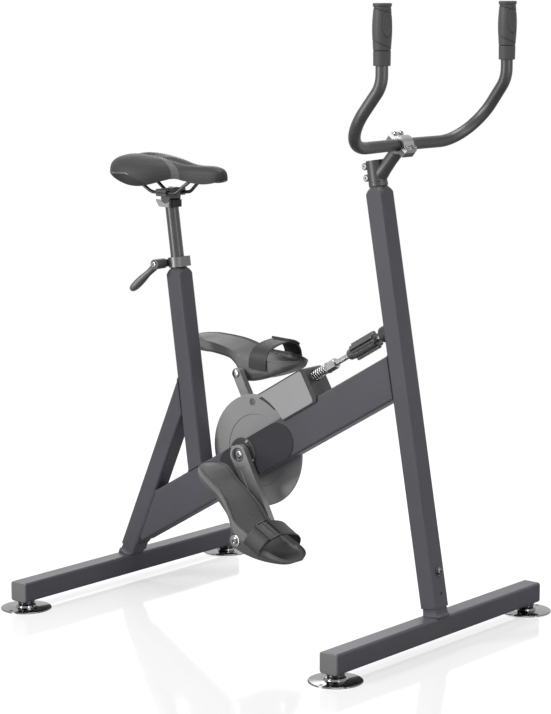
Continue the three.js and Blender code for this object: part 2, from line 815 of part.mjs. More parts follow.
// The seat tube stands on the beam and ends in a round neck.
function seatTubeForm() {
  const neckTop = seatTubeTop + shoulderHeight + seatNeckHeight;
  const outer = shoulderedTube(-seatTubeBelow, seatTubeTop, seatNeckRadius, neckTop);
  const hollowTop = seatTubeTop - tubeSize / 2;
  const hollow = hollowForm(-seatTubeBelow - overrun, hollowTop);
  const bore = rod(seatPostRadius + boreGap, hollowTop - overrun, neckTop + overrun);
  const reach = barSpacing / 2;
  const below = block(-reach, reach, -tubeSize, tubeSize, -reach, beamDepth / 2 + seatGap);
  return cut(outer, hollow, bore, intoFrame(seatFrame, beamFrame, below));
}
add(seatFrame, "seat_tube", seatTubeForm(), paint);

// The strut sleeves over its stub and ends on the seat tube's rear face.
function strutForm() {
  const strut = extruded(roundedOutline(tubeSize, tubeSize, tubeCorner), sleeveRise, strutLength);
  const reach = barSpacing / 2;
  const ahead = block(-tubeSize / 2 - seatGap, reach, -tubeSize, tubeSize, -seatTubeBelow * 2, reach);
  return cut(
    strut,
    hollowForm(-overrun, strutLength + overrun),
    intoFrame(strutFrame, seatFrame, ahead),
  );
}
add(strutFrame, "rear_strut", strutForm(), paint);

// The brake's frame has its origin on the crank axis, on the beam's centre line.
const brakeFrame = frameAt(beamFrame, crankAlong, 0, 0);
const beamTop = beamDepth / 2 + seatGap;
const beamRight = -tubeSize / 2 - seatGap;

// A plate that doubles the beam's right side round the bearings.
const doublerHalf = beamDepth / 2 - doublerMargin;
function doublerForm() {
  const shape = new THREE.Shape();
  shape.absarc(doublerFront - doublerHalf, 0, doublerHalf, -Math.PI / 2, Math.PI / 2);
  shape.absarc(-doublerBack + doublerHalf, 0, doublerHalf, Math.PI / 2, Math.PI * 1.5);
  const plate = sideExtruded(shape, beamRight - doublerThick, beamRight, smallSteps);
  return cut(
    plate,
    crossRod(housingTubeRadius + seatGap, -tubeSize, tubeSize, 0, crankAcross),
  );
}
const doublerFace = beamRight - doublerThick;
add(brakeFrame, "beam_doubler", doublerForm(), paint);

// Bearings sit in a cross tube, and a cover plate hides the right one.
const crankFrame = frameAt(
  bike,
  crankAlong * Math.cos(beamRise) - crankAcross * Math.sin(beamRise),
  0,
  beamHeight + crankAlong * Math.sin(beamRise) + crankAcross * Math.cos(beamRise),
  -crankTurn,
);
const housingEnds = [doublerFace, tubeSize / 2];
add(
  crankFrame,
  "bearing_housing",
  turnedAcross([
    [bearingOuterRadius + seatGap, housingEnds[0]],
    [housingTubeRadius, housingEnds[0]],
    [housingTubeRadius, housingEnds[1]],
    [bearingOuterRadius + seatGap, housingEnds[1]],
    [bearingOuterRadius + seatGap, housingEnds[0]],
  ]),
  satinAlloy,
);
function bearingForm(y0) {
  const inner = axleRadius + boreGap;
  const y1 = y0 + bearingWidth;
  const [land0, land1] = [inner + bearingLand, bearingOuterRadius - bearingLand];
  return turnedAcross([
    [inner, y0],
    [land0, y0],
    [land0, y0 + bearingGroove],
    [land1, y0 + bearingGroove],
    [land1, y0],
    [bearingOuterRadius, y0],
    [bearingOuterRadius, y1],
    [inner, y1],
    [inner, y0],
  ]);
}
add(crankFrame, "right_bearing", bearingForm(doublerFace), polishedSteel);
add(crankFrame, "left_bearing", bearingForm(housingEnds[1] - bearingWidth), polishedSteel);
const coverFace = doublerFace - seatGap - coverThick;
add(
  crankFrame,
  "bearing_cover",
  turnedAcross([
    [coverHoleRadius, coverFace],
    [coverRadius, coverFace],
    [coverRadius, coverFace + coverThick],
    [coverHoleRadius, coverFace + coverThick],
    [coverHoleRadius, coverFace],
  ], fineSteps),
  greyPlastic,
);

// A crank arm hangs from its eye: its outer face at y = 0 looks to -Y.
const rightArmFace = coverFace - runGap - armThick;
const leftArmFace = leftArmOut + armThick;
function armForm(root, tip) {
  const lean = Math.asin((root - tip) / crankReach);
  const shape = new THREE.Shape();
  shape.absarc(0, 0, root, -lean, Math.PI + lean);
  shape.absarc(0, -crankReach, tip, Math.PI + lean, Math.PI * 2 - lean);
  const panel = new THREE.Shape();
  const panelRadius = tip * armPanelShare;
  const top = -armEyeRadius - armPanelMargin;
  const bottom = -crankReach + tip + armPanelMargin;
  panel.absarc(0, top - panelRadius, panelRadius, 0, Math.PI);
  panel.absarc(0, bottom + panelRadius, panelRadius, Math.PI, Math.PI * 2);
  const shank = sideExtruded(shape, 0, armThick, smallSteps);
  return cut(
    root < armEyeRadius ? join(shank, crossRod(armEyeRadius, 0, armThick)) : shank,
    sideExtruded(panel, -overrun, armPanelDepth, smallSteps / 2),
    crossRod(armRecessRadius, -overrun, armRecessDepth),
    crossRod(axleRadius + boreGap, -overrun, armThick + overrun),
    crossRod(spindleRadius + boreGap, -overrun, armThick + overrun, 0, -crankReach),
  );
}
const rightArm = armForm(armEyeRadius, armTipRadius).translate(0, rightArmFace, 0);
add(crankFrame, "right_crank_arm", rightArm, satinAlloy);
const leftArm = armForm(leftArmRoot, leftArmTip).rotateX(Math.PI).translate(0, leftArmFace, 0);
add(crankFrame, "left_crank_arm", leftArm, satinAlloy);

// The axle ends short of the arms' recesses, and a bolt holds each arm on it.
const axleEnds = [rightArmFace + armRecessDepth + seatGap, leftArmFace - armRecessDepth - seatGap];
const boltBore = axleBoltLength + overrun;
add(
  crankFrame,
  "crank_axle",
  cut(
    crossRod(axleRadius, axleEnds[0], axleEnds[1]),
    crossRod(axleBoltRadius + boreGap, axleEnds[0] - overrun, axleEnds[0] + boltBore),
    crossRod(axleBoltRadius + boreGap, axleEnds[1] - boltBore, axleEnds[1] + overrun),
  ),
  polishedSteel,
);
function crankBoltForm() {
  const head = armRecessDepth - armPanelDepth;
  return turnedAcross([
    [0, 0],
    [axleBoltHeadRadius - armPanelDepth, 0],
    [axleBoltHeadRadius, armPanelDepth],
    [axleBoltHeadRadius, head],
    [axleBoltRadius, head],
    [axleBoltRadius, axleBoltLength],
    [0, axleBoltLength],
  ], roundSteps);
}
const boltFace = axleEnds[0] - seatGap - armRecessDepth + armPanelDepth;
add(crankFrame, "right_crank_bolt", crankBoltForm().translate(0, boltFace, 0), polishedSteel);
const farBoltFace = axleEnds[1] + seatGap + armRecessDepth - armPanelDepth;
add(
  crankFrame,
  "left_crank_bolt",
  crankBoltForm().rotateX(Math.PI).translate(0, farBoltFace, 0),
  polishedSteel,
);

// The resistance disc, raised a little outside its ring line, on a hub with a flange.
const discNear = tubeSize / 2 + discGap;
const discFar = discNear + discThick;
const hubBossRadius = axleRadius + boreGap + discStep * 4;
function discForm() {
  const bore = hubBossRadius + seatGap;
  const disc = turnedAcross([
    [bore, discNear + discStep],
    [discPlateRadius, discNear + discStep],
    [discPlateRadius + discStep, discNear],
    [discRadius - discEdge, discNear],
    [discRadius, discNear + discEdge],
    [discRadius, discFar - discEdge],
    [discRadius - discEdge, discFar],
    [bore, discFar],
    [bore, discNear + discStep],
  ], fineSteps);
  const turn = discHoleTurn - crankTurn;
  const [x, z] = [discHoleAt * Math.cos(turn), discHoleAt * Math.sin(turn)];
  return cut(disc, crossRod(discHoleRadius, 0, discFar + overrun, x, z, smallSteps));
}
add(crankFrame, "resistance_disc", discForm(), greyPlastic);
const hubStart = discFar + seatGap;
const hubEnd = leftArmOut - seatGap;
add(
  crankFrame,
  "disc_hub",
  turnedAcross([
    [axleRadius + boreGap, discNear + discStep],
    [hubBossRadius, discNear + discStep],
    [hubBossRadius, hubStart],
    [hubFlangeRadius, hubStart],
    [hubFlangeRadius, hubStart + hubFlangeThick],
    [hubRadius, hubStart + hubFlangeThick],
    [hubRadius - discStep, hubEnd],
    [axleRadius + boreGap, hubEnd],
    [axleRadius + boreGap, discNear + discStep],
  ]),
  satinAlloy,
);

// A pedal that is wide at the toe: a footbed under a raised rim, and a recess for its spindle's washer.
const spindleSeat = pedalWidth - spindleInset;
function pedalForm() {
  const rings = pedalStationShares.map(([along, inner, outer, innerRim, outerRim, under, depth]) =>
    pedalSectionShares.map(([across, level]) => {
      const lerp = THREE.MathUtils.lerp;
      const rim = lerp(innerRim, outerRim, across);
      const up = level < 1 ? lerp(under, rim, level) : rim - depth * (level - 1);
      const out = lerp(inner, outer, across);
      return new THREE.Vector3(along * pedalLength, out * pedalWidth, up * pedalHeight);
    }),
  );
  const flange = crossRod(spindleFlangeRadius, spindleSeat / 2, spindleSeat);
  const recess = crossRod(spindleFlangeRadius, spindleSeat, pedalWidth + overrun);
  const bore = crossRod(spindleRadius + boreGap, -overrun, pedalWidth + overrun);
  return cut(join(lofted(rings), flange), recess, bore);
}

// A spindle through the pedal, with the washer and nut on its outer end. The left one has a head
// inside its arm, and the right one ends flush with its arm.
function spindleForm(headed) {
  const inner = -pedalStandoff - armThick;
  const end = spindleSeat + seatGap;
  const tip = end + spindleWasherThick + spindleNutLength;
  const head = [
    [0, inner - seatGap - spindleHeadHeight],
    [spindleHeadRadius, inner - seatGap - spindleHeadHeight],
    [spindleHeadRadius, inner - seatGap],
    [spindleRadius, inner - seatGap],
  ];
  return turnedAcross([
    ...(headed ? head : [[0, inner], [spindleRadius, inner]]),
    [spindleRadius, end],
    [spindleWasherRadius, end],
    [spindleWasherRadius, end + spindleWasherThick],
    [spindleNutRadius, end + spindleWasherThick],
    [spindleNutRadius, tip],
    [spindleRadius / 2, tip],
    [spindleRadius / 2, end + spindleWasherThick],
    [0, end + spindleWasherThick],
  ]);
}

// A strap over the foot, with the frame and bar of its buckle.
function strapForm(skew) {
  const half = pedalWidth / 2 + strapSide + strapThick / 2;
  const points = strapPathShares.map(([share, up]) => new THREE.Vector3(share * half, up * strapHeight, 0));
  const path = new THREE.CatmullRomCurve3(points);
  const line = path.getSpacedPoints(strapSteps);
  const outline = new THREE.Shape();
  const edges = [1, -1].map((side) =>
    line.map((point, i) => {
      const tangent = path.getTangentAt(i / strapSteps);
      const shift = (side * strapThick) / 2;
      return new THREE.Vector2(point.x + tangent.y * shift, point.y - tangent.x * shift);
    }),
  );
  outline.setFromPoints([...edges[0], ...edges[1].reverse()]);
  const options = { depth: strapWidth, bevelEnabled: false };
  const band = new THREE.ExtrudeGeometry(outline, options);
  const place = path.getPointAt(buckleAt);
  const along = path.getTangentAt(buckleAt);
  const middle = strapWidth / 2;
  const [l, w] = [buckleLength / 2, buckleWidth / 2];
  const frame = block(-l, l, 0, buckleThick, middle - w, middle + w);
  const open = block(
    -l + buckleFrame,
    l - buckleFrame,
    strapThick - seatGap,
    buckleThick + overrun,
    middle - w + buckleFrame,
    middle + w - buckleFrame,
  );
  const bar = block(-buckleBar / 2, buckleBar / 2, 0, buckleThick, middle - w, middle + w);
  const buckle = geometryOf(solidOf(cut(frame, open)).add(solidOf(bar)));
  buckle.rotateZ(Math.atan2(along.y, along.x)).translate(place.x, place.y, 0);
  const strap = join(band, buckle);
  // From across, up and along into the pedal's frame, leaning ahead toward the inner side
  const lean = -skew / (2 * half);
  const turned = strap.applyMatrix4(
    new THREE.Matrix4().makeBasis(
      new THREE.Vector3(lean, 1, 0),
      new THREE.Vector3(0, 0, 1),
      new THREE.Vector3(1, 0, 0),
    ),
  );
  return turned.translate(strapForward - middle + skew / 2, pedalWidth / 2, 0);
}

// A geometry reflected from the left side to the right.
function mirrored(geometry) {
  const flipped = geometry.index ? geometry.toNonIndexed() : geometry.clone();
  flipped.scale(1, -1, 1);
  const places = flipped.attributes.position.array;
  for (let i = 0; i < places.length; i += 9) {
    for (let j = 0; j < 3; j++) {
      [places[i + 3 + j], places[i + 6 + j]] = [places[i + 6 + j], places[i + 3 + j]];
    }
  }
  flipped.computeVertexNormals();
  return flipped;
}

const pedalSides = [
  ["left", 1, leftArmFace, leftPedalPitch, crankReach, leftStrapSkew],
  ["right", -1, -rightArmFace, rightPedalPitch, -crankReach, rightStrapSkew],
];
for (const [side, sy, face, pitch, reach, skew] of pedalSides) {
  const frame = frameAt(crankFrame, 0, sy * (face + pedalStandoff), reach, crankTurn + pitch);
  const forms = [
    ["pedal", pedalForm(), greyPlastic],
    ["spindle", spindleForm(sy > 0), polishedSteel],
    ["strap", strapForm(skew), webbing],
  ];
  for (const [name, form, material] of forms) {
    add(frame, side + "_" + name, sy > 0 ? form : mirrored(form), material);
  }
}

// The brake housing's outline, hollow where it goes round the disc.
function brakeOutline(bottom, top, front, arc, round) {
  const shape = new THREE.Shape();
  const low = Math.asin((bottom - crankAcross) / arc);
  const high = Math.asin((top - crankAcross) / arc);
  shape.absarc(front - round, bottom + round, round, -Math.PI / 2, 0);
  shape.absarc(front - round, top - round, round, 0, Math.PI / 2);
  shape.absarc(0, crankAcross, arc, high, low, true);
  return shape;
}
function brakeHousingForm() {
  const outer = brakeOutline(housingSkirt, housingTop, housingFront, housingArc, housingRound);
  const body = sideExtruded(outer, -housingSide, housingLeft, smallSteps);
  const inside = [-housingSide + housingWall, housingLeft - housingWall];
  const room = block(0, housingFront - housingNose, ...inside, 0, housingTop - housingWall);
  const under = block(0, housingFront + overrun, beamRight, housingLeft + overrun, 0, beamTop);
  const well = rod(springWellRadius, housingFront - springWell, housingFront + overrun);
  const bore = rod(rodRadius + runGap, 0, housingFront + overrun);
  const alongRod = (form) => form.rotateY(Math.PI / 2).translate(0, rodSide, rodHeight);
  const pocket = brakeOutline(
    housingSkirt + coverPlateInset,
    housingTop - coverPlateInset,
    coverPlateFront + seatGap,
    housingArc + coverPlateInset,
    housingRound - coverPlateInset,
  );
  return cut(
    body,
    room,
    under,
    alongRod(well),
    alongRod(bore),
    sideExtruded(pocket, -housingSide - overrun, -housingSide + coverPlateThick + seatGap, smallSteps),
  );
}
add(brakeFrame, "brake_housing", brakeHousingForm(), blackPlastic);
const inset = coverPlateInset + seatGap;
const coverPlate = brakeOutline(
  housingSkirt + inset,
  housingTop - inset,
  coverPlateFront,
  housingArc + inset,
  housingRound - inset,
);
const coverPlateForm = sideExtruded(coverPlate, -housingSide, -housingSide + coverPlateThick, smallSteps);
add(brakeFrame, "brake_cover", coverPlateForm, palePlastic);

// The shoe's curved face is set off the disc, and the rod's tip screws into its boss.
function brakeShoeForm() {
  const face = discRadius + shoeGap;
  const shape = brakeOutline(shoeBottom, shoeTop, shoeFront, face, coverPlateInset);
  const shoe = sideExtruded(shape, shoeRight, shoeLeft, smallSteps);
  const bore = rod(rodRadius + boreGap, rodStart - seatGap, housingFront);
  return cut(shoe, bore.rotateY(Math.PI / 2).translate(0, rodSide, rodHeight));
}
add(brakeFrame, "brake_shoe", brakeShoeForm(), blackPlastic);

const rodFrame = frameAt(brakeFrame, 0, rodSide, rodHeight, Math.PI / 2);
rodFrame.updateWorldMatrix(true, false);
postFrame.updateWorldMatrix(true, false);
const intoPost = postFrame.matrixWorld.clone().invert().multiply(rodFrame.matrixWorld);
const rodFoot = new THREE.Vector3().applyMatrix4(intoPost);
const rodWay = new THREE.Vector3(0, 0, 1).transformDirection(intoPost);
// Along the rod's axis to the post's rear face
const rodMeet = (-tubeSize / 2 - rodFoot.x) / rodWay.x;
const rodEnd = rodMeet - rodShort;
const knobStart = rodEnd - knobBack;
const socketStart = rodMeet - socketReach;
add(rodFrame, "tension_rod", rod(rodRadius, rodStart, rodEnd), blackMetal);

class Coil extends THREE.Curve {
  constructor(radius, start, end, turns) {
    super();
    Object.assign(this, { radius, start, end, turns });
  }
  getPoint(share, target = new THREE.Vector3()) {
    const turn = share * this.turns * Math.PI * 2;
    const height = THREE.MathUtils.lerp(this.start, this.end, share);
    return target.set(this.radius * Math.cos(turn), this.radius * Math.sin(turn), height);
  }
}

// A round bar along a curve.
function swept(radius, curve, steps, facets) {
  const circle = [];
  for (let i = 0; i < facets; i++) {
    const turn = (i / facets) * Math.PI * 2;
    circle.push(new THREE.Vector2(radius * Math.cos(turn), radius * Math.sin(turn)));
  }
  const options = { steps, extrudePath: curve, bevelEnabled: false };
  return new THREE.ExtrudeGeometry(new THREE.Shape(circle), options);
}
const springStart = housingFront - springWell + seatGap + springWire;
const coil = new Coil(springRadius, springStart, springEnd - seatGap - springWire, springTurns);
const coilSteps = springTurns * springSteps;
add(rodFrame, "brake_spring", swept(springWire, coil, coilSteps, springSides), polishedSteel);

// The least gap between the coil's turns, measured on points of its curve.
const coilPoints = coil.getPoints(coilSteps * 4);
let coilGap = Infinity;
coilPoints.forEach((a, i) => {
  for (let j = i + springSteps * 2; j < coilPoints.length; j++) {
    coilGap = Math.min(coilGap, a.distanceTo(coilPoints[j]) - 2 * springWire);
  }
});
console.log("least gap between the coil's turns: " + coilGap.toFixed(2) + " mm");

function boredAlongRod(form, from, to) {
  return cut(form, rod(rodRadius + boreGap, from - overrun, to + overrun));
}
const nutForm = join(
  rod(lockFlangeRadius, springEnd, springEnd + lockFlangeThick),
  hexPrism(lockNutAcross, springEnd, lockNutEnd),
);
add(rodFrame, "lock_nut", boredAlongRod(nutForm, springEnd, lockNutEnd), polishedSteel);

// The knob has lobes with wide flutes between them, and a drawn-in lower end.
function knobForm() {
  const rings = knobRingShares.map(([place, share]) => {
    const ring = [];
    for (let i = 0; i < knobPoints; i++) {
      const turn = (i / knobPoints) * Math.PI * 2;
      const flute = knobFluteShare * (0.5 - 0.5 * Math.cos(knobLobes * turn)) * share;
      const radius = knobRadius * share * (1 - flute);
      const height = knobStart + place * knobLength;
      ring.push(new THREE.Vector3(radius * Math.cos(turn), radius * Math.sin(turn), height));
    }
    return ring;
  });
  return boredAlongRod(lofted(rings), knobStart, rodEnd);
}
add(rodFrame, "brake_knob", knobForm(), blackPlastic);

// A domed socket on the post's rear face takes the rod's upper end.
function socketForm() {
  const far = rodEnd + tubeSize;
  const dome = turnedForm([
    [0, socketStart],
    [socketSeat, socketStart],
    [socketRadius, socketStart + socketLand],
    [socketRadius, far],
    [0, far],
  ]);
  const half = tubeSize / 2 + seatGap;
  const ahead = block(-half, tubeSize * 4, -tubeSize, tubeSize, 0, postLength);
  const bore = rod(rodRadius + boreGap, socketStart - overrun, rodEnd + seatGap);
  return cut(dome, bore, intoFrame(rodFrame, postFrame, ahead));
}
add(rodFrame, "rod_socket", socketForm(), blackPlastic);

// The collar grips the seat tube's neck, and its lever turns on a bolt through its ears.
const neckTop = seatTubeTop + shoulderHeight + seatNeckHeight;
const collarBottom = seatTubeTop + shoulderHeight + seatGap;
const collarTop = collarBottom + collarHeight;
const collarMiddle = (collarBottom + collarTop) / 2;
function collarForm() {
  const bore = seatNeckRadius + boreGap;
  const [earLow, earHigh] = [collarMiddle - collarEarRise, collarMiddle + collarEarRise];
  const body = join(
    rod(bore + collarWall, collarBottom, collarTop),
    block(0, collarFlatReach, -collarFlat, collarFlat, collarBottom, collarTop),
    block(-collarEarReach, 0, -collarEar, collarEar, earLow, earHigh),
  );
  const pin = crossRod(leverBoltRadius + boreGap, -tubeSize, tubeSize, -leverAxisBack, collarMiddle);
  return cut(
    body,
    rod(bore, collarBottom - overrun, collarTop + overrun),
    block(-tubeSize, 0, -collarSlot, collarSlot, collarBottom - overrun, collarTop + overrun),
    pin,
  );
}
add(seatFrame, "seat_collar", collarForm(), blackMetal);

seatFrame.updateWorldMatrix(true, false);
const leverPlace = new THREE.Vector3(-leverAxisBack, 0, collarMiddle).applyMatrix4(seatFrame.matrixWorld);
const leverFrame = frameAt(bike, leverPlace.x, 0, leverPlace.z, leverTurn);
function leverForm() {
  const rings = leverRingShares.map(([share, side, width, thick]) => {
    const thickness = thick * leverThick;
    const ring = squareRing(thickness, width * leverWidth, thickness * leverRound, -share * leverReach);
    return ring.map((point) => point.add(new THREE.Vector3(0, -side * leverSide, 0)));
  });
  const hub = crossRod(leverHubRadius, leverHubEnd, leverHubStart);
  const bore = crossRod(leverBoltRadius + boreGap, leverHubEnd - overrun, leverHubStart + overrun);
  const past = crossRod(leverHubRadius, leverHubEnd - tubeSize, leverHubEnd - seatGap);
  return cut(join(lofted(rings), hub), bore, past);
}
add(leverFrame, "clamp_lever", leverForm(), blackPlastic);
add(
  leverFrame,
  "lever_bolt",
  turnedAcross([
    [0, leverHubEnd - seatGap - leverBoltHeadHeight],
    [leverBoltHeadRadius, leverHubEnd - seatGap - leverBoltHeadHeight],
    [leverBoltHeadRadius, leverHubEnd - seatGap],
    [leverBoltRadius, leverHubEnd - seatGap],
    [leverBoltRadius, collarEar + seatGap],
    [leverNutRadius, collarEar + seatGap],
    [leverNutRadius, collarEar + seatGap + leverNutLength],
    [0, collarEar + seatGap + leverNutLength],
  ], smallSteps),
  polishedSteel,
);

// The post slides in the seat tube. Its head holds the cradle on which the saddle tilts.
const headRise = (headLevel - seatHeight) / Math.cos(seatLean);
const headFrame = frameAt(bike, -seatBack - headRise * Math.sin(seatLean), 0, headLevel);
const postTopEnd = headRise - cradleRadius - seatGap - tubeWall;
add(seatFrame, "seat_post", rod(seatPostRadius, neckTop - seatPostIn, postTopEnd), blackMetal);
function headForm() {
  const side = new THREE.Shape([
    new THREE.Vector2(-headChin, headBottom),
    new THREE.Vector2(headFront - tubeWall, headBottom),
    new THREE.Vector2(headFront, headTop),
    new THREE.Vector2(-headBack, headTop),
    new THREE.Vector2(-headBack, headTop - tubeWall),
  ]);
  const body = sideExtruded(side, -headHalf, headHalf);
  const bore = rod(seatPostRadius + seatGap, 0, postTopEnd + seatGap);
  return cut(
    body,
    crossRod(cradleRadius + seatGap, -tubeSize, tubeSize),
    intoFrame(headFrame, seatFrame, bore),
  );
}
add(headFrame, "post_head", headForm(), palePlastic);
const grooves = [-1, 1].map((side) =>
  rod(railRadius + boreGap, -tubeSize, tubeSize)
    .rotateY(Math.PI / 2)
    .translate(0, side * railHalfSpacing, railRise),
);
const clampBore = rod(clampBoltRadius + boreGap, -clampBoltDepth - seatGap, tubeSize);
const cradleForm = cut(
  join(
    crossRod(cradleRadius, -headHalf, headHalf),
    block(-cradleReach, cradleReach, -cradleHalf, cradleHalf, cradleUnder, railRise - seatGap),
  ),
  block(-tubeSize, tubeSize, -tubeSize, tubeSize, railRise - seatGap, tubeSize),
  ...grooves,
  clampBore,
);
add(headFrame, "rail_cradle", cradleForm, blackMetal);
const clampTop = railRise + seatGap + clampThick;
const clampForm = cut(
  block(-cradleReach, cradleReach, -cradleHalf, cradleHalf, railRise + seatGap, clampTop),
  ...grooves,
  clampBore,
);
add(headFrame, "rail_clamp", clampForm, blackMetal);
add(
  headFrame,
  "clamp_bolt",
  turnedForm([
    [0, -clampBoltDepth],
    [clampBoltRadius, -clampBoltDepth],
    [clampBoltRadius, clampTop + seatGap],
    [clampBoltHeadRadius, clampTop + seatGap],
    [clampBoltHeadRadius, clampTop + seatGap + clampBoltHeadHeight],
    [0, clampTop + seatGap + clampBoltHeadHeight],
  ], smallSteps),
  polishedSteel,
);

// Saddle: one bent rail, a shell under a pad, and the pad with its channel.
const railPoints = railPathShares.map(([ahead, side, up]) => new THREE.Vector3(
  ahead * saddleLength,
  side * railHalfSpacing,
  railRise + up * railClimb,
));
const acrossMiddle = new THREE.Vector3(1, -1, 1);
const railOthers = railPoints.slice(0, -1).reverse().map((point) => point.clone().multiply(acrossMiddle));
const railCurve = new THREE.CatmullRomCurve3([...railPoints, ...railOthers]);
const saddleStations = saddleStationShares.map(([ahead, wide, edge, top, channel]) => [
  ahead * saddleLength,
  wide * saddleWide,
  edge * saddleTop,
  top * saddleTop,
  channel * channelDeep,
]);
function saddleForm(side, down, end, under, count) {
  const [nose, tail] = [saddleStations[0][0], saddleStations[saddleStations.length - 1][0]];
  const middle = (nose + tail) / 2;
  const shrink = (nose - tail - 2 * end) / (nose - tail);
  const rings = saddleStations.map(([x, wide, edge, top, channel]) => {
    const half = Math.max(wide - side, wide * saddleLeast);
    const low = edge - under;
    const rise = Math.max(top - down - low, (top - edge) * saddleLeast);
    const ring = [];
    for (let i = 0; i <= count; i++) {
      const turn = (i / count) * Math.PI;
      const y = half * Math.sign(Math.cos(turn)) * Math.abs(Math.cos(turn)) ** (2 / saddleBulge);
      const up = Math.abs(Math.sin(turn)) ** (2 / saddleBulge);
      const dip = channel * Math.exp(-((y / channelWidth) ** 2));
      ring.push(new THREE.Vector3(middle + (x - middle) * shrink, y, low + rise * up - dip));
    }
    return ring;
  });
  return lofted(rings.reverse());
}
add(
  headFrame,
  "saddle_pad",
  cut(saddleForm(0, 0, 0, 0, saddlePoints), saddleForm(padSide, padTop, padEnd, overrun, hollowPoints)),
  saddleSkin,
);

// The shell follows the pad's hollow, ends above the pad's edge, and holds the rail in bosses.
function bossForm([x0, x1, y0, y1, z0, z1]) {
  const [near, far] = [Math.min(y0, y1), Math.max(y0, y1)].map((y) => y * saddleWide);
  return block(x0 * saddleLength, x1 * saddleLength, near, far, z0 * saddleTop, z1 * saddleTop);
}
function shellForm() {
  const offsets = [0, shellThick].map((deep) => {
    const gap = 2 * seatGap + deep;
    return saddleForm(padSide + gap, padTop + gap, padEnd + gap, overrun, hollowPoints);
  });
  const below = saddleStations.map(([x, , edge]) => {
    const reach = saddleWide;
    const [y0, y1, z0, z1] = [-reach, reach, edge - reach, edge + shellUp];
    const corners = [[y1, z0], [y1, z1], [y0, z1], [y0, z0]];
    return corners.map(([y, z]) => new THREE.Vector3(x, y, z));
  });
  const shell = cut(offsets[0], offsets[1], lofted(below.reverse()));
  const [x0, x1, y0, y1, z0, z1] = tailBossShares;
  const [n0, n1, wide, low, high] = noseBossShares;
  const bosses = [
    bossForm([n0, n1, -wide, wide, low, high]),
    bossForm([x0, x1, y0, y1, z0, z1]),
    bossForm([x0, x1, -y0, -y1, z0, z1]),
  ];
  const railCut = swept(railRadius + boreGap, railCurve, railSteps, railSides);
  return cut(keep(join(shell, ...bosses), offsets[0]), railCut);
}
add(headFrame, "saddle_base", shellForm(), blackPlastic);
add(headFrame, "saddle_rails", swept(railRadius, railCurve, railSteps, railSides), polishedSteel);

// A round bar through places with given directions, its rings turned as little as possible.
function tubeThrough(radius, stations, facets) {
  let out = new THREE.Vector3(1, 0, 0);
  const rings = stations.map(({ place, way }) => {
    out = out.clone().addScaledVector(way, -out.dot(way)).normalize();
    const across = way.clone().cross(out);
    const ring = [];
    for (let i = 0; i < facets; i++) {
      const turn = (i / facets) * Math.PI * 2;
      const point = place.clone().addScaledVector(out, radius * Math.cos(turn));
      ring.push(point.addScaledVector(across, radius * Math.sin(turn)));
    }
    return ring;
  });
  return lofted(rings);
}

// A path through corners, each bend an arc of its own radius.
function bentPath(corners, radii) {
  const path = new THREE.CurvePath();
  let from = corners[0];
  for (let i = 1; i + 1 < corners.length; i++) {
    const back = corners[i - 1].clone().sub(corners[i]).normalize();
    const on = corners[i + 1].clone().sub(corners[i]).normalize();
    const half = back.angleTo(on) / 2;
    const reach = radii[i - 1] / Math.tan(half);
    const [start, end] = [back, on].map((way) => corners[i].clone().addScaledVector(way, reach));
    const middle = back.clone().add(on).normalize();
    const hub = corners[i].clone().addScaledVector(middle, radii[i - 1] / Math.sin(half));
    path.add(new THREE.LineCurve3(from, start));
    path.add(new Bend(hub, start, end));
    from = end;
  }
  path.add(new THREE.LineCurve3(from, corners[corners.length - 1]));
  return path;
}

// An arc round a hub from one point to another.
class Bend extends THREE.Curve {
  constructor(hub, start, end) {
    super();
    this.hub = hub;
    this.arms = [start.clone().sub(hub), end.clone().sub(hub)];
    this.angle = this.arms[0].angleTo(this.arms[1]);
  }
  getPoint(share, target = new THREE.Vector3()) {
    const weights = [Math.sin((1 - share) * this.angle), Math.sin(share * this.angle)];
    target.copy(this.hub);
    this.arms.forEach((arm, i) => target.addScaledVector(arm, weights[i] / Math.sin(this.angle)));
    return target;
  }
}

// Places along a bent path: the ends of its straights, and each step of its bends.
function pathPlaces(path) {
  const places = [path.getPoint(0)];
  for (const curve of path.curves) {
    const steps = curve.angle ? Math.ceil(curve.angle / bendStep) : 1;
    places.push(...curve.getPoints(steps).slice(1));
  }
  return places;
}

// The handlebar in a level frame at its middle, bent from the middle to the left end and mirrored
const stemBottom = ringBottom + headRingHeight + stemBottomGap;
const barPlace = new THREE.Vector3(barAhead, 0, stemBottom + barRise).applyMatrix4(postFrame.matrixWorld);
const handFrame = frameAt(bike, barPlace.x, 0, barPlace.z);
const gripTop = gripRise + gripLength;
function handlebarForm() {
  const corners = [
    new THREE.Vector3(0, 0, 0),
    new THREE.Vector3(0, barStraight, 0),
    new THREE.Vector3(barSweep, barHalf, 0),
    new THREE.Vector3(gripAhead, gripSide, barUpperCorner),
    new THREE.Vector3(gripAhead, gripSide, gripTop - gripEnd - gripBoreGap),
  ];
  const places = pathPlaces(bentPath(corners, [barMiddleBend, barLowerBend, barUpperBend]));
  const rings = places.map((place, i) => {
    const [before, after] = [places[Math.max(i - 1, 0)], places[Math.min(i + 1, places.length - 1)]];
    return { place, way: after.clone().sub(before).normalize() };
  });
  const others = rings.slice(1).reverse().map(({ place, way }) => ({
    place: place.clone().multiply(acrossMiddle),
    way: way.clone().multiply(new THREE.Vector3(-1, 1, -1)),
  }));
  return tubeThrough(barRadius, [...others, ...rings], handlebarSides);
}
add(handFrame, "handlebar", handlebarForm(), blackMetal);

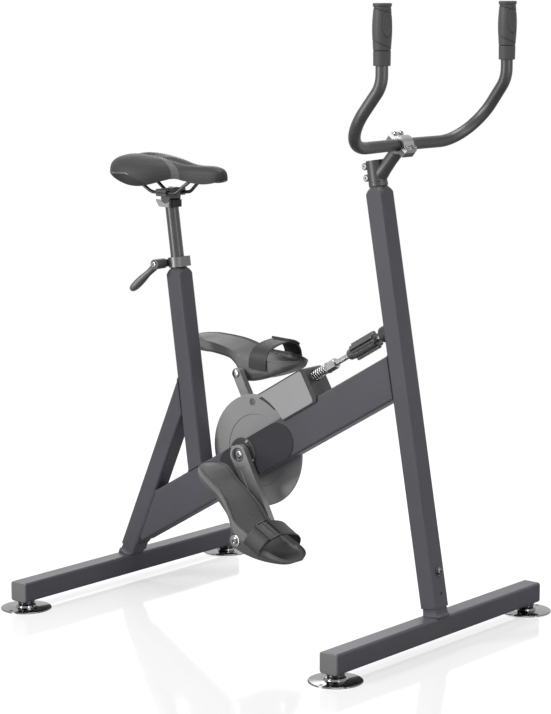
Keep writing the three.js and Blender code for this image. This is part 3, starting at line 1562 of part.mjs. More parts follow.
// A grip swells in the middle and has a rim at its upper end.
function gripForm() {
  const bore = barRadius + gripBoreGap;
  const rim = gripRadius + gripRim;
  const low = gripRadius * gripEndShare;
  return turnedForm([
    [0, gripTop - gripEnd],
    [bore, gripTop - gripEnd],
    [bore, gripRise],
    [low, gripRise],
    [gripRadius, gripRise + gripLength / 3],
    [gripRadius, gripTop - gripLength / 3],
    [low, gripTop - 2 * gripRimWide],
    [rim, gripTop - 2 * gripRimWide + gripRim],
    [rim, gripTop - gripRim],
    [gripRadius, gripTop],
    [0, gripTop],
  ], roundSteps - smallSteps / 4);
}
for (const [side, sy] of sides) {
  add(handFrame, side + "_grip", gripForm().translate(gripAhead, sy * gripSide, 0), darkRubber);
}

// Stem: a split clamp on the steerer, an arm, and a split clamp round the handlebar.
const stemTop = stemBottom + stemClampHeight;
const armLength = Math.hypot(barAhead, barRise - stemArmAt);
const armTilt = Math.atan2(barRise - stemArmAt, barAhead);
const barFrame = frameAt(postFrame, barAhead, 0, stemBottom + barRise, -armTilt);
const stemBarBore = crossRod(barRadius + boreGap, -tubeSize, tubeSize);
function clampAround() {
  const ears = block(-stemEarHalf, stemEarHalf, -barClampHalf, barClampHalf, -barEarRise, barEarRise);
  return join(crossRod(barClampRadius, -barClampHalf, barClampHalf), ears);
}
function stemForm() {
  const arm = rod(stemArmRadius, 0, armLength, fineSteps / 2).rotateY(-Math.PI / 2);
  const back = cut(
    join(clampAround(), arm),
    stemBarBore,
    block(faceplateGap / 2, tubeSize, -tubeSize, tubeSize, -tubeSize, tubeSize),
  );
  const ears = block(-stemEarReach, 0, -stemEarHalf, stemEarHalf, stemBottom, stemTop);
  let stem = join(
    rod(stemClampRadius, stemBottom, stemTop),
    ears,
    intoFrame(postFrame, barFrame, back),
  );
  const boltAt = -stemEarReach + stemEarHalf;
  const boltEnd = -stemEarHalf - stemBoltOut;
  const bolts = [stemBottom + stemBoltInset, stemTop - stemBoltInset].map((z) =>
    crossRod(stemBoltRadius, boltEnd, stemEarHalf, boltAt, z, smallSteps),
  );
  stem = cut(
    stem,
    rod(steererRadius + boreGap, stemBottom - overrun, steererTop + seatGap),
    block(-tubeSize, 0, -stemSlot, stemSlot, stemBottom - overrun, steererTop + seatGap),
    block(-tubeSize, tubeSize * 2, -tubeSize, tubeSize, stemBottom - tubeSize, stemBottom),
  );
  return join(stem, ...bolts);
}
add(postFrame, "stem", stemForm(), blackMetal);
function faceplateForm() {
  const front = cut(
    clampAround(),
    stemBarBore,
    block(-tubeSize, faceplateGap / 2 + seatGap, -tubeSize, tubeSize, -tubeSize, tubeSize),
  );
  const bolts = [];
  for (const sy of [-1, 1]) {
    for (const sz of [-1, 1]) {
      const bolt = rod(faceplateBoltRadius, faceplateGap, stemEarHalf + faceplateBoltOut);
      bolts.push(
        bolt.rotateY(Math.PI / 2).translate(0, sy * faceplateBoltSide, sz * faceplateBoltRise),
      );
    }
  }
  return join(front, ...bolts);
}
add(barFrame, "stem_faceplate", faceplateForm(), satinAlloy);

export default bike;
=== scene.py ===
"""The looks of an aqua bike: a stationary pedal frame that stands on a pool floor.

Metres, +Z up, the rider faces +X, and the origin is on the floor in the middle of the four feet.
"""
import json
import math

import bmesh
import bpy
import numpy as np
from mathutils import Matrix, Vector

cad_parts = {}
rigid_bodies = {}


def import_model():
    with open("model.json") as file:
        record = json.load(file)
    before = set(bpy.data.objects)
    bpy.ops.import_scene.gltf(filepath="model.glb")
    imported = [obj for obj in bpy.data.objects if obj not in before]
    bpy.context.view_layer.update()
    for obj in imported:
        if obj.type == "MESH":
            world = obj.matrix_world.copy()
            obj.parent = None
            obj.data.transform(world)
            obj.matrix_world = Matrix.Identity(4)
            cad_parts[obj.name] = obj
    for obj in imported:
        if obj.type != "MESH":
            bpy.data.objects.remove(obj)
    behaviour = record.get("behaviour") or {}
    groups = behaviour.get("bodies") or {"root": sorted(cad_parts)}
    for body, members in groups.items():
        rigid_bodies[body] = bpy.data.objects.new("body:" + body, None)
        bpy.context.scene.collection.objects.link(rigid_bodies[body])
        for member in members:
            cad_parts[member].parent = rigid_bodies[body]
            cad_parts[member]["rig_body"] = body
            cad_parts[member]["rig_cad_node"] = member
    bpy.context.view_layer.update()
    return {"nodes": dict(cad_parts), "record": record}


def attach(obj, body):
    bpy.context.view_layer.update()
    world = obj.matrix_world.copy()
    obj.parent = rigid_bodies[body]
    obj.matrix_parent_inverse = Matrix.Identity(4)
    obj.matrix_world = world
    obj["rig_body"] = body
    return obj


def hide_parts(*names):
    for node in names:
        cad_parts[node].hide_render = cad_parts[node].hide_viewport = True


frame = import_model()

MM = 0.001
AXIS_X, AXIS_Z = Vector((1, 0, 0)), Vector((0, 0, 1))
BODY_OF = {node: body for body, nodes in frame["record"]["behaviour"]["bodies"].items() for node in nodes}

# The camera, as it stood for the photograph
CAMERA_PLACE = Vector((2942.94, -3584.66, 1269.14)) * MM
CAMERA_TURN = (math.radians(90 - 9.2405), 0, math.radians(39.380))
CAMERA_LENS = 119.72  # for a sensor of 36 mm on the picture's long side
CAMERA_SENSOR = 36

# The floor and the light
FLOOR_RADIUS = 3.2
FLOOR_CLEAR_FROM = 1.1
FLOOR_STEPS = 96
FLOOR_LIFT = 0.56  # what the camera sees beyond the floor's own colour
FLOOR_GREY = (0.4, 0.4, 0.402, 1)
FLOOR_ROUGH = 0.08
FLOOR_GLOSS = 0.9


def stand_camera():
    data = bpy.data.cameras.new("photograph")
    data.sensor_fit = "VERTICAL"
    data.sensor_height = data.sensor_width = CAMERA_SENSOR
    data.lens = CAMERA_LENS
    camera = bpy.data.objects.new("photograph", data)
    camera.location = CAMERA_PLACE
    camera.rotation_euler = CAMERA_TURN
    bpy.context.scene.collection.objects.link(camera)
    bpy.context.scene.camera = camera


def add_node(tree, kind, inputs=None, **settings):
    """Places a node, sets it, and fills its inputs with values or with other nodes' outputs."""
    node = tree.nodes.new(kind)
    for name, value in settings.items():
        setattr(node, name, value)
    for name, value in (inputs or {}).items():
        if isinstance(value, bpy.types.NodeSocket):
            tree.links.new(value, node.inputs[name])
        else:
            node.inputs[name].default_value = value
    return node


def calculate(tree, how, first, second):
    """A math node's result."""
    return add_node(tree, "ShaderNodeMath", {0: first, 1: second}, operation=how).outputs["Value"]


FLOAT, COLOUR, VECTOR = "NodeSocketFloat", "NodeSocketColor", "NodeSocketVector"
COUNT, MATERIAL, GEOMETRY = "NodeSocketInt", "NodeSocketMaterial", "NodeSocketGeometry"


def new_group(name, inputs, outputs, kind="ShaderNodeTree"):
    """A node group with named sockets: its tree, and the nodes that bring values in and out."""
    tree = bpy.data.node_groups.new(name, kind)
    for label, socket, value in inputs:
        made = tree.interface.new_socket(name=label, in_out="INPUT", socket_type=socket)
        if value is not None:
            made.default_value = value
    for label, socket in outputs:
        tree.interface.new_socket(name=label, in_out="OUTPUT", socket_type=socket)
    return tree, tree.nodes.new("NodeGroupInput"), tree.nodes.new("NodeGroupOutput")


def mix_colours(tree, share, first, second):
    """The first colour turned into the second by a share."""
    mix = add_node(tree, "ShaderNodeMix", {"Factor": share, 6: first, 7: second}, data_type="RGBA")
    return mix.outputs[2]


def mix_noises(tree, come, first, second, share):
    """Two noises mixed by a share. Each comes as the name of its scale in the group, and its detail."""
    noises = [add_node(tree, "ShaderNodeTexNoise", {
        "Vector": come.outputs["Vector"], "Scale": come.outputs[scale], "Detail": detail,
    }) for scale, detail in (first, second)]
    both = add_node(tree, "ShaderNodeMix", {
        "Factor": come.outputs[share], "A": noises[0].outputs["Fac"], "B": noises[1].outputs["Fac"],
    }, data_type="FLOAT")
    return both.outputs["Result"]


def make_drift_group():
    """A colour that drifts a little over a surface, with fine specks."""
    tree, come, go = new_group(
        "colour drift",
        [("Vector", VECTOR, None), ("Dark", COLOUR, None), ("Light", COLOUR, None),
         ("Patch Scale", FLOAT, 6.0), ("Speck Scale", FLOAT, 900.0), ("Speck Share", FLOAT, 0.25)],
        [("Color", COLOUR), ("Value", FLOAT)],
    )
    both = mix_noises(tree, come, ("Patch Scale", 4), ("Speck Scale", 2), "Speck Share")
    spread = add_node(tree, "ShaderNodeMapRange", {"Value": both, "From Min": 0.32, "From Max": 0.68})
    colour = mix_colours(tree, spread.outputs["Result"], come.outputs["Dark"], come.outputs["Light"])
    tree.links.new(colour, go.inputs["Color"])
    tree.links.new(spread.outputs["Result"], go.inputs["Value"])
    return tree


def make_grain_group():
    """The height of a fine grain, such as powder coat or moulded plastic, with a coarser ripple under it."""
    tree, come, go = new_group(
        "surface grain",
        [("Vector", VECTOR, None), ("Grain Scale", FLOAT, 1500.0), ("Ripple Scale", FLOAT, 90.0),
         ("Ripple Share", FLOAT, 0.3)],
        [("Height", FLOAT)],
    )
    both = mix_noises(tree, come, ("Grain Scale", 3), ("Ripple Scale", 2), "Ripple Share")
    tree.links.new(both, go.inputs["Height"])
    return tree


def make_wear_group():
    """A mask of rubbed edges, broken up by noise."""
    tree, come, go = new_group(
        "rubbed edges",
        [("Vector", VECTOR, None), ("Width", FLOAT, 0.001), ("Amount", FLOAT, 0.5)],
        [("Mask", FLOAT)],
    )
    rounded = add_node(tree, "ShaderNodeBevel", {"Radius": come.outputs["Width"]}, samples=4)
    flat = add_node(tree, "ShaderNodeNewGeometry")
    turn = add_node(tree, "ShaderNodeVectorMath", {
        0: rounded.outputs["Normal"], 1: flat.outputs["Normal"]}, operation="DOT_PRODUCT")
    edge = add_node(tree, "ShaderNodeMapRange", {
        "Value": turn.outputs["Value"], "From Min": 0.998, "From Max": 0.86,
    })
    noise = add_node(tree, "ShaderNodeTexNoise", {
        "Vector": come.outputs["Vector"], "Scale": 60.0, "Detail": 5.0, "Roughness": 0.7,
    })
    broken = add_node(tree, "ShaderNodeMapRange", {
        "Value": noise.outputs["Fac"], "From Min": 0.42, "From Max": 0.62,
    })
    both = calculate(tree, "MULTIPLY", edge.outputs["Result"], broken.outputs["Result"])
    tree.links.new(calculate(tree, "MULTIPLY", both, come.outputs["Amount"]), go.inputs["Mask"])
    return tree


DRIFT, GRAIN, WEAR = make_drift_group(), make_grain_group(), make_wear_group()


def grey(level, red=1.0, blue=1.0):
    """A grey from its level on a screen, 0 to 255."""
    linear = (level / 255) ** 2.2
    return (linear * red, linear, linear * blue, 1)


def slate(level):
    """The frame's grey, with a little violet in it."""
    return grey(level, 1.03, 1.16)


def make_finish(name, dark, light, rough, metallic=0.0, specular=0.5, patch=6.0, grain=1500.0, ripple=90.0,
                ripple_share=0.3, depth=0.00005, worn=None, wear_width=0.0009, wear_amount=0.35, marks=()):
    """A finish with a drifting colour, marked places, a grain in its gloss and bump, and rubbed edges."""
    material = bpy.data.materials.new(name)
    material.use_nodes = True
    tree = material.node_tree
    shader = tree.nodes["Principled BSDF"]
    shader.inputs["Metallic"].default_value = metallic
    shader.inputs["Specular IOR Level"].default_value = specular
    place = add_node(tree, "ShaderNodeTexCoord").outputs["Object"]
    drift = add_node(tree, "ShaderNodeGroup", node_tree=DRIFT)
    for socket, value in (("Dark", dark), ("Light", light), ("Patch Scale", patch)):
        drift.inputs[socket].default_value = value
    tree.links.new(place, drift.inputs["Vector"])
    colour = drift.outputs["Color"]
    for mark, shade in marks:
        mask = add_node(tree, "ShaderNodeAttribute", attribute_name=mark)
        colour = mix_colours(tree, mask.outputs["Fac"], colour, shade)
    texture = add_node(tree, "ShaderNodeGroup", node_tree=GRAIN)
    for socket, value in (("Grain Scale", grain), ("Ripple Scale", ripple), ("Ripple Share", ripple_share)):
        texture.inputs[socket].default_value = value
    tree.links.new(place, texture.inputs["Vector"])
    gloss = add_node(tree, "ShaderNodeMapRange", {
        "Value": drift.outputs["Value"], "To Min": rough[0], "To Max": rough[1],
    })
    if worn is not None:
        rub = add_node(tree, "ShaderNodeGroup", node_tree=WEAR)
        rub.inputs["Width"].default_value = wear_width
        rub.inputs["Amount"].default_value = wear_amount
        tree.links.new(place, rub.inputs["Vector"])
        colour = mix_colours(tree, rub.outputs["Mask"], colour, worn)
    bump = add_node(tree, "ShaderNodeBump", {
        "Height": texture.outputs["Height"], "Distance": depth, "Strength": 1.0,
    })
    tree.links.new(colour, shader.inputs["Base Color"])
    tree.links.new(gloss.outputs["Result"], shader.inputs["Roughness"])
    tree.links.new(bump.outputs["Normal"], shader.inputs["Normal"])
    return material


FRAME_PAINT = make_finish(
    "slate powder coat", slate(84), slate(94), (0.3, 0.4), specular=0.17, patch=5.0, grain=2200.0,
    ripple=160.0, ripple_share=0.5, depth=0.00005, worn=grey(150), wear_amount=0.25,
)
# Painted shade: a darker copy of the frame's paint on the doubler plate, standing in for the crank's shadow
# and its dark reflection there.
SHADED_PLATE_PAINT = make_finish(
    "shaded plate paint", slate(58), slate(68), (0.14, 0.24), specular=0.2, patch=7.0, grain=2200.0,
    ripple=160.0, ripple_share=0.5, depth=0.00003, worn=grey(130), wear_amount=0.25,
)
CAP_PLASTIC = make_finish("grey cap plastic", grey(110), grey(120), (0.45, 0.6), worn=grey(150))
DISC_PLASTIC = make_finish(
    "pale disc plastic", grey(146), grey(156), (0.36, 0.48), patch=9.0, grain=1800.0, worn=grey(180),
    wear_amount=0.2,
)
COVER_PLASTIC = make_finish("pale cover plastic", grey(159), grey(167), (0.42, 0.54), grain=2400.0)
HOUSING_PLASTIC = make_finish(
    "black housing plastic", grey(46), grey(56), (0.26, 0.4), specular=0.42, grain=1600.0, depth=0.00006,
    worn=grey(96),
)
# Painted shade: the mark "line" colours the knob's flutes near-black for the shade in them.
KNOB_PLASTIC = make_finish(
    "black knob plastic", grey(64), grey(80), (0.3, 0.4), specular=0.7, grain=1400.0, depth=0.000006,
    marks=(("line", grey(14)),),
)
# Painted shade: the mark "line" darkens the crease round the footbed and the troughs of its arcs.
PEDAL_PLASTIC = make_finish(
    "pedal plastic", grey(86), grey(97), (0.4, 0.54), specular=0.35, patch=14.0, grain=1300.0, depth=0.0001,
    worn=grey(126), wear_width=0.002, marks=(("side", grey(128)), ("line", grey(46))),
)
STRAP_RUBBER = make_finish(
    "strap rubber", grey(42), grey(52), (0.45, 0.6), specular=0.4, grain=1100.0, depth=0.0001,
)
CRANK_ALLOY = make_finish(
    "cast crank alloy", grey(122), grey(138), (0.3, 0.42), metallic=0.6, patch=18.0, grain=2600.0,
    worn=grey(190),
)
# Painted reflection: the mark "front" colours the head's curved front near-black for the dark reflection it
# shows.
HEAD_ALLOY = make_finish(
    "satin head alloy", grey(136), grey(154), (0.26, 0.38), metallic=0.7, patch=20.0,
    marks=(("front", grey(34)),),
)
FACEPLATE_ALLOY = make_finish(
    "bright faceplate alloy", grey(146), grey(164), (0.2, 0.32), metallic=0.9, depth=0.00001,
)
BRIGHT_STEEL = make_finish(
    "bright steel", grey(158), grey(178), (0.12, 0.24), metallic=1.0, patch=25.0, depth=0.000006,
)
FOOT_STEEL = make_finish(
    "polished foot steel", grey(116), grey(134), (0.07, 0.15), metallic=1.0, patch=25.0, depth=0.00001,
)
DARK_STEEL = make_finish(
    "darkened steel", grey(96), grey(114), (0.2, 0.32), metallic=1.0, patch=25.0, depth=0.00002,
)
POST_METAL = make_finish(
    "satin post metal", grey(74), grey(88), (0.32, 0.4), metallic=0.9, patch=16.0, depth=0.000004,
)
BLACK_METAL = make_finish(
    "gloss black metal", grey(72), grey(86), (0.38, 0.46), metallic=1.0, patch=8.0, depth=0.000004,
    worn=grey(120), wear_amount=0.2,
)
COLLAR_METAL = make_finish("collar metal", grey(96), grey(110), (0.26, 0.38), metallic=0.9, depth=0.00001)
LEVER_METAL = make_finish("lever metal", grey(86), grey(98), (0.4, 0.5), metallic=0.4, depth=0.000006)
COVER_METAL = make_finish("dark cover metal", grey(52), grey(62), (0.24, 0.36), metallic=0.5)
# Painted shade: the mark "line" darkens the grip's grooves.
GRIP_RUBBER = make_finish(
    "grip rubber", grey(72), grey(84), (0.5, 0.66), specular=0.4, grain=900.0, depth=0.0001,
    marks=(("line", grey(44)),),
)
STITCH_THREAD = make_finish("stitch thread", grey(66), grey(78), (0.7, 0.85), grain=3000.0)
SADDLE_SKIN = make_finish(
    "saddle skin", grey(50), grey(60), (0.46, 0.6), specular=0.26, grain=700.0, depth=0.00004,
    marks=(("band", grey(92)), ("line", grey(34)), ("shell", grey(30))),
)

FINISHES = {node: finish for finish, nodes in (
    (FRAME_PAINT, "front_base_bar rear_base_bar front_stub rear_stub front_post main_beam seat_tube "
                  "rear_strut"),
    (SHADED_PLATE_PAINT, "beam_doubler"),
    (CAP_PLASTIC, "front_left_cap front_right_cap rear_left_cap rear_right_cap"),
    (FOOT_STEEL, "front_left_foot front_right_foot rear_left_foot rear_right_foot"),
    (DARK_STEEL, "post_bolt"),
    (BLACK_METAL, "steerer_tube rail_cradle rail_clamp stem handlebar"),
    (HOUSING_PLASTIC, "rod_socket brake_housing brake_shoe saddle_base"),
    (CRANK_ALLOY, "bearing_housing right_crank_arm left_crank_arm disc_hub"),
    (BRIGHT_STEEL, "right_bearing left_bearing crank_axle right_crank_bolt left_crank_bolt right_spindle "
                   "left_spindle tension_rod lock_nut brake_spring clamp_bolt lever_bolt"),
    (COVER_METAL, "bearing_cover"),
    (DISC_PLASTIC, "resistance_disc"),
    (PEDAL_PLASTIC, "right_pedal left_pedal"),
    (STRAP_RUBBER, "right_strap left_strap"),
    (COVER_PLASTIC, "brake_cover"),
    (KNOB_PLASTIC, "brake_knob"),
    (POST_METAL, "seat_post saddle_rails"),
    (HEAD_ALLOY, "post_head"),
    (COLLAR_METAL, "seat_collar"),
    (LEVER_METAL, "clamp_lever"),
    (SADDLE_SKIN, "saddle_pad"),
    (FACEPLATE_ALLOY, "stem_faceplate"),
    (GRIP_RUBBER, "right_grip left_grip"),
) for node in nodes.split()}


def dress(piece, finish):
    piece.data.materials.clear()
    piece.data.materials.append(finish)


def soften(piece, smooth, round_over, segments=2, even=True):
    """Smooth shading up to an angle, sharper edges rounded over in millimetres, and even normals."""
    piece.data.shade_smooth()
    piece.data.set_sharp_from_angle(angle=math.radians(smooth))
    if round_over:
        bevel = piece.modifiers.new("round over", "BEVEL")
        bevel.width = round_over * MM
        bevel.segments = segments
        bevel.limit_method = "ANGLE"
        bevel.angle_limit = math.radians(smooth)
        bevel.use_clamp_overlap = True
        bevel.harden_normals = True
    if even:
        weight = piece.modifiers.new("even normals", "WEIGHTED_NORMAL")
        weight.keep_sharp = True
        weight.weight = 90


def fine_copy(node, smooth=35, round_over=0.6):
    """A finer copy of a node: its flats made whole, its edges rounded over, and its curved faces smooth."""
    piece = frame["nodes"][node].copy()
    piece.data = frame["nodes"][node].data.copy()
    piece.name = node + "_finish"
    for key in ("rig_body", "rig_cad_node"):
        if key in piece:
            del piece[key]
    piece.parent = None
    bpy.context.scene.collection.objects.link(piece)
    mesh = bmesh.new()
    mesh.from_mesh(piece.data)
    bmesh.ops.remove_doubles(mesh, verts=mesh.verts, dist=0.00001)
    bmesh.ops.dissolve_limit(mesh, angle_limit=math.radians(1), verts=mesh.verts, edges=mesh.edges)
    mesh.to_mesh(piece.data)
    mesh.free()
    dress(piece, FINISHES[node])
    soften(piece, smooth, round_over)
    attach(piece, BODY_OF[node])
    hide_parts(node)


def frame_at(place, turn=0.0, parent=None):
    """A frame at a place in millimetres, turned about the Y axis."""
    here = Matrix.Translation(Vector(place)) @ Matrix.Rotation(turn, 4, "Y")
    return parent @ here if parent else here


# Frames in millimetres: Z runs up the post, the seat tube and the strut, and X runs up the beam
BAR_TOP, BAR_MIDDLE = 57.0, 37.0
POST_FRAME = frame_at((395.5, 0, BAR_TOP), math.radians(-10))
BEAM_FRAME = frame_at((0, 0, 336), math.radians(-30))
SEAT_FRAME = frame_at((-200, 0, 286), math.radians(-8))
STRUT_FRAME = frame_at((-392.5, 0, BAR_TOP), math.radians(23.598))
BRAKE_ALONG = -67.4
BRAKE_FRAME = frame_at((BRAKE_ALONG, 0, 0), 0, BEAM_FRAME)
CRANK_FRAME = frame_at((-65.47, 0, 314.598), math.radians(-28.5))
ROD_FRAME = frame_at((0, 3, 82), math.radians(90), BRAKE_FRAME)
HEAD_FRAME = frame_at((-274.487, 0, 816))
HAND_FRAME = frame_at((305.641, 0, 948.439))
CLAMP_FRAME = frame_at((66.3, 0, 893.5), math.radians(-40.13), POST_FRAME)
LEVER_PLACE = (-24.5, 0, 402.6)
LEVER_FRAME = frame_at(SEAT_FRAME @ Vector(LEVER_PLACE), math.radians(44))
LEFT_PEDAL_FRAME = frame_at((-144.201, 71.5, 459.602), math.radians(2.5))
RIGHT_PEDAL_FRAME = frame_at((13.261, -46.1, 169.593), math.radians(29))
FLIP = Matrix.Diagonal((1, -1, 1, 1))  # from the left side to the right

ROUND = 64  # steps of a turned form
SLIM = 32  # steps of a small one


def start_mesh(places, faces):
    mesh = bmesh.new()
    points = [mesh.verts.new(place) for place in places]
    for face in faces:
        mesh.faces.new([points[i] for i in face])
    return mesh


def loft(rings, closed=False):
    """A closed skin over rings that hold the same number of points."""
    count = len(rings[0])
    places = [point for ring in rings for point in ring]
    faces = []
    for i in range(len(rings) if closed else len(rings) - 1):
        a, b = i * count, (i + 1) % len(rings) * count
        faces += [(a + j, a + (j + 1) % count, b + (j + 1) % count, b + j) for j in range(count)]
    if not closed:
        for start, flip in ((0, True), ((len(rings) - 1) * count, False)):
            hub = len(places)
            places.append(sum((Vector(p) for p in rings[start // count]), Vector()) / count)
            for j in range(count):
                a, b = start + j, start + (j + 1) % count
                faces.append((hub, b, a) if flip else (hub, a, b))
    return start_mesh(places, faces)


def turned(profile, steps=ROUND, along="Z"):
    """A turned form from [radius, height] pairs. Its ends lie on the axis, or it closes on itself."""
    rings = []
    for radius, height in profile:
        ring = []
        for i in range(steps):
            turn = 2 * math.pi * i / steps
            a, b = radius * math.cos(turn), radius * math.sin(turn)
            ring.append({"Z": (a, b, height), "Y": (b, height, a), "X": (height, a, b)}[along])
        rings.append(ring)
    if tuple(profile[0]) == tuple(profile[-1]):
        mesh = loft(rings[:-1], closed=True)
    else:
        mesh = loft(rings)
    bmesh.ops.remove_doubles(mesh, verts=mesh.verts, dist=0.0001)
    return mesh


def wavy(rows, start, length, steps, size_at):
    """A turned form whose size changes round it, from rows of a share of its length and a radius."""
    rings = []
    for share, radius in rows:
        ring = []
        for i in range(steps):
            turn = 2 * math.pi * i / steps
            size = size_at(share, radius, turn)
            ring.append((size * math.cos(turn), size * math.sin(turn), start + share * length))
        rings.append(ring)
    return loft(rings)


def rod(radius, low, high, along="Z", place=(0, 0, 0), steps=ROUND):
    mesh = turned([(0, low), (radius, low), (radius, high), (0, high)], steps, along)
    bmesh.ops.translate(mesh, verts=mesh.verts, vec=place)
    return mesh


def ring_round(width, depth, corner, height, steps=8):
    """A ring with round corners at a height, anticlockwise from above."""
    ring = []
    for quarter, (sx, sy) in enumerate([(1, 1), (-1, 1), (-1, -1), (1, -1)]):
        for i in range(steps + 1):
            turn = (quarter + i / steps) * math.pi / 2
            ring.append((sx * (width / 2 - corner) + corner * math.cos(turn),
                         sy * (depth / 2 - corner) + corner * math.sin(turn), height))
    return ring


def prism(outline, low, high, along="Z"):
    """An outline of flat points between two heights. Along Y it is an outline in x and z."""
    places = [{"Z": (a, b, h), "Y": (a, h, b), "X": (h, a, b)}[along]
              for h in (low, high) for a, b in outline]
    count = len(outline)
    faces = [(j, (j + 1) % count, (j + 1) % count + count, j + count) for j in range(count)]
    return start_mesh(places, faces + [tuple(range(count))[::-1], tuple(range(count, 2 * count))])


def block(x0, x1, y0, y1, z0, z1):
    return prism([(x0, y0), (x1, y0), (x1, y1), (x0, y1)], z0, z1)


def hex_outline(across):
    radius = across / math.sqrt(3)
    return [(radius * math.cos(i * math.pi / 3), radius * math.sin(i * math.pi / 3)) for i in range(6)]


def keyed(bolt, across, low, high, along="Z"):
    """A bolt with a six-sided hollow for its key."""
    return carved(bolt, prism(hex_outline(across), low, high, along))


def arc(x, z, radius, start, end, steps=24):
    """Points of an arc, from one angle to another in degrees."""
    turns = [math.radians(start + (end - start) * i / steps) for i in range(steps + 1)]
    return [(x + radius * math.cos(turn), z + radius * math.sin(turn)) for turn in turns]


def moved(mesh, matrix):
    bmesh.ops.transform(mesh, matrix=matrix, verts=mesh.verts)
    if matrix.determinant() < 0:
        bmesh.ops.reverse_faces(mesh, faces=mesh.faces)
    return mesh


def cut_flat(mesh, place, way):
    """Takes off what lies beyond a plane, and closes the cut."""
    geometry = mesh.verts[:] + mesh.edges[:] + mesh.faces[:]
    made = bmesh.ops.bisect_plane(mesh, geom=geometry, plane_co=place, plane_no=way, clear_outer=True)
    edges = [item for item in made["geom_cut"] if isinstance(item, bmesh.types.BMEdge)]
    bmesh.ops.holes_fill(mesh, edges=edges)
    return mesh


def cut_to(mesh, own, other, place, way):
    """Takes off what lies beyond a plane that is given in another piece's frame."""
    across = own.inverted() @ other
    return cut_flat(mesh, across @ Vector(place), across.to_3x3() @ way)


def joined(*meshes):
    """Several meshes as one, without joining their walls."""
    whole = bmesh.new()
    for mesh in meshes:
        data = bpy.data.meshes.new("part")
        mesh.to_mesh(data)
        mesh.free()
        whole.from_mesh(data)
        bpy.data.meshes.remove(data)
    return whole


def carved(mesh, *tools, how="DIFFERENCE"):
    """The mesh with tools cut from it, added to it, or kept within them."""
    objects = []
    for item in (mesh,) + tools:
        bmesh.ops.recalc_face_normals(item, faces=item.faces)
        data = bpy.data.meshes.new("carving")
        item.to_mesh(data)
        item.free()
        made = bpy.data.objects.new("carving", data)
        bpy.context.scene.collection.objects.link(made)
        objects.append(made)
    for tool in objects[1:]:
        step = objects[0].modifiers.new("carve", "BOOLEAN")
        step.operation = how
        step.solver = "EXACT"
        step.object = tool
    shaped = objects[0].evaluated_get(bpy.context.evaluated_depsgraph_get())
    result = bmesh.new()
    result.from_mesh(shaped.data)
    for made in objects:
        data = made.data
        bpy.data.objects.remove(made)
        bpy.data.meshes.remove(data)
    return result


def swept(path, radius, sides=32, closed=False):
    """A round bar along a path, its rings turned as little as possible."""
    points = [Vector(point) for point in path]
    count = len(points)
    out, rings = None, []
    for i, point in enumerate(points):
        before = points[(i - 1) % count if closed else max(i - 1, 0)]
        after = points[(i + 1) % count if closed else min(i + 1, count - 1)]
        way = (after - before).normalized()
        if out is None:
            out = way.orthogonal()
        out = (out - way * out.dot(way)).normalized()
        across = way.cross(out)
        size = radius[i] if isinstance(radius, (list, tuple)) else radius
        rings.append([point + out * size * math.cos(2 * math.pi * j / sides)
                      + across * size * math.sin(2 * math.pi * j / sides) for j in range(sides)])
    return loft(rings, closed)


def smooth_rows(rows, places, closed=False):
    """Rows of numbers smoothly between the given rows, at places counted in rows."""
    table = np.array(rows, dtype=float)
    count = len(table)
    result = []
    for place in places:
        base = math.floor(place)
        base = base % count if closed else min(max(base, 0), count - 2)
        share = place - math.floor(place) if closed else place - base
        index = [base - 1, base, base + 1, base + 2]
        index = [i % count for i in index] if closed else [min(max(i, 0), count - 1) for i in index]
        a, b, c, d = (table[i] for i in index)
        result.append(0.5 * (2 * b + (c - a) * share + (2 * a - 5 * b + 4 * c - d) * share ** 2
                             + (3 * b - a - 3 * c + d) * share ** 3))
    return np.array(result)


def between(rows, steps):
    """The rows with smooth steps between them."""
    return smooth_rows(rows, [i / steps for i in range(steps * (len(rows) - 1) + 1)])


def even_places(rows, column, count):
    """Places counted in rows that are evenly spaced in the values of one column."""
    fine = np.linspace(0, len(rows) - 1, len(rows) * 40)
    values = smooth_rows(rows, fine)[:, column]
    values = np.maximum.accumulate(values * np.sign(values[-1] - values[0]))
    return np.interp(np.linspace(values[0], values[-1], count), values, fine)


def stand(name, mesh, matrix, finish, body, *nodes, smooth=35, round_over=0.0, segments=2, even=True,
          marks=None):
    """A piece of the bike from a mesh in millimetres: marked, placed, dressed, and riding on its body."""
    marked = {mark: [measure(*vertex.co) for vertex in mesh.verts] for mark, measure in (marks or {}).items()}
    bmesh.ops.transform(mesh, matrix=Matrix.Scale(MM, 4) @ matrix, verts=mesh.verts)
    bmesh.ops.recalc_face_normals(mesh, faces=mesh.faces)
    data = bpy.data.meshes.new(name)
    mesh.to_mesh(data)
    mesh.free()
    for mark, values in marked.items():
        data.attributes.new(mark, "FLOAT", "POINT").data.foreach_set("value", values)
    piece = bpy.data.objects.new(name, data)
    bpy.context.scene.collection.objects.link(piece)
    dress(piece, finish)
    soften(piece, smooth, round_over, segments, even)
    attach(piece, body)
    if nodes:
        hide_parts(*nodes)
    return piece


def replace(node, mesh, matrix, finish=None, **settings):
    """A finer piece in a node's place, in its finish and on its body."""
    return stand(node + "_finish", mesh, matrix, finish or FINISHES[node], BODY_OF[node], node, **settings)


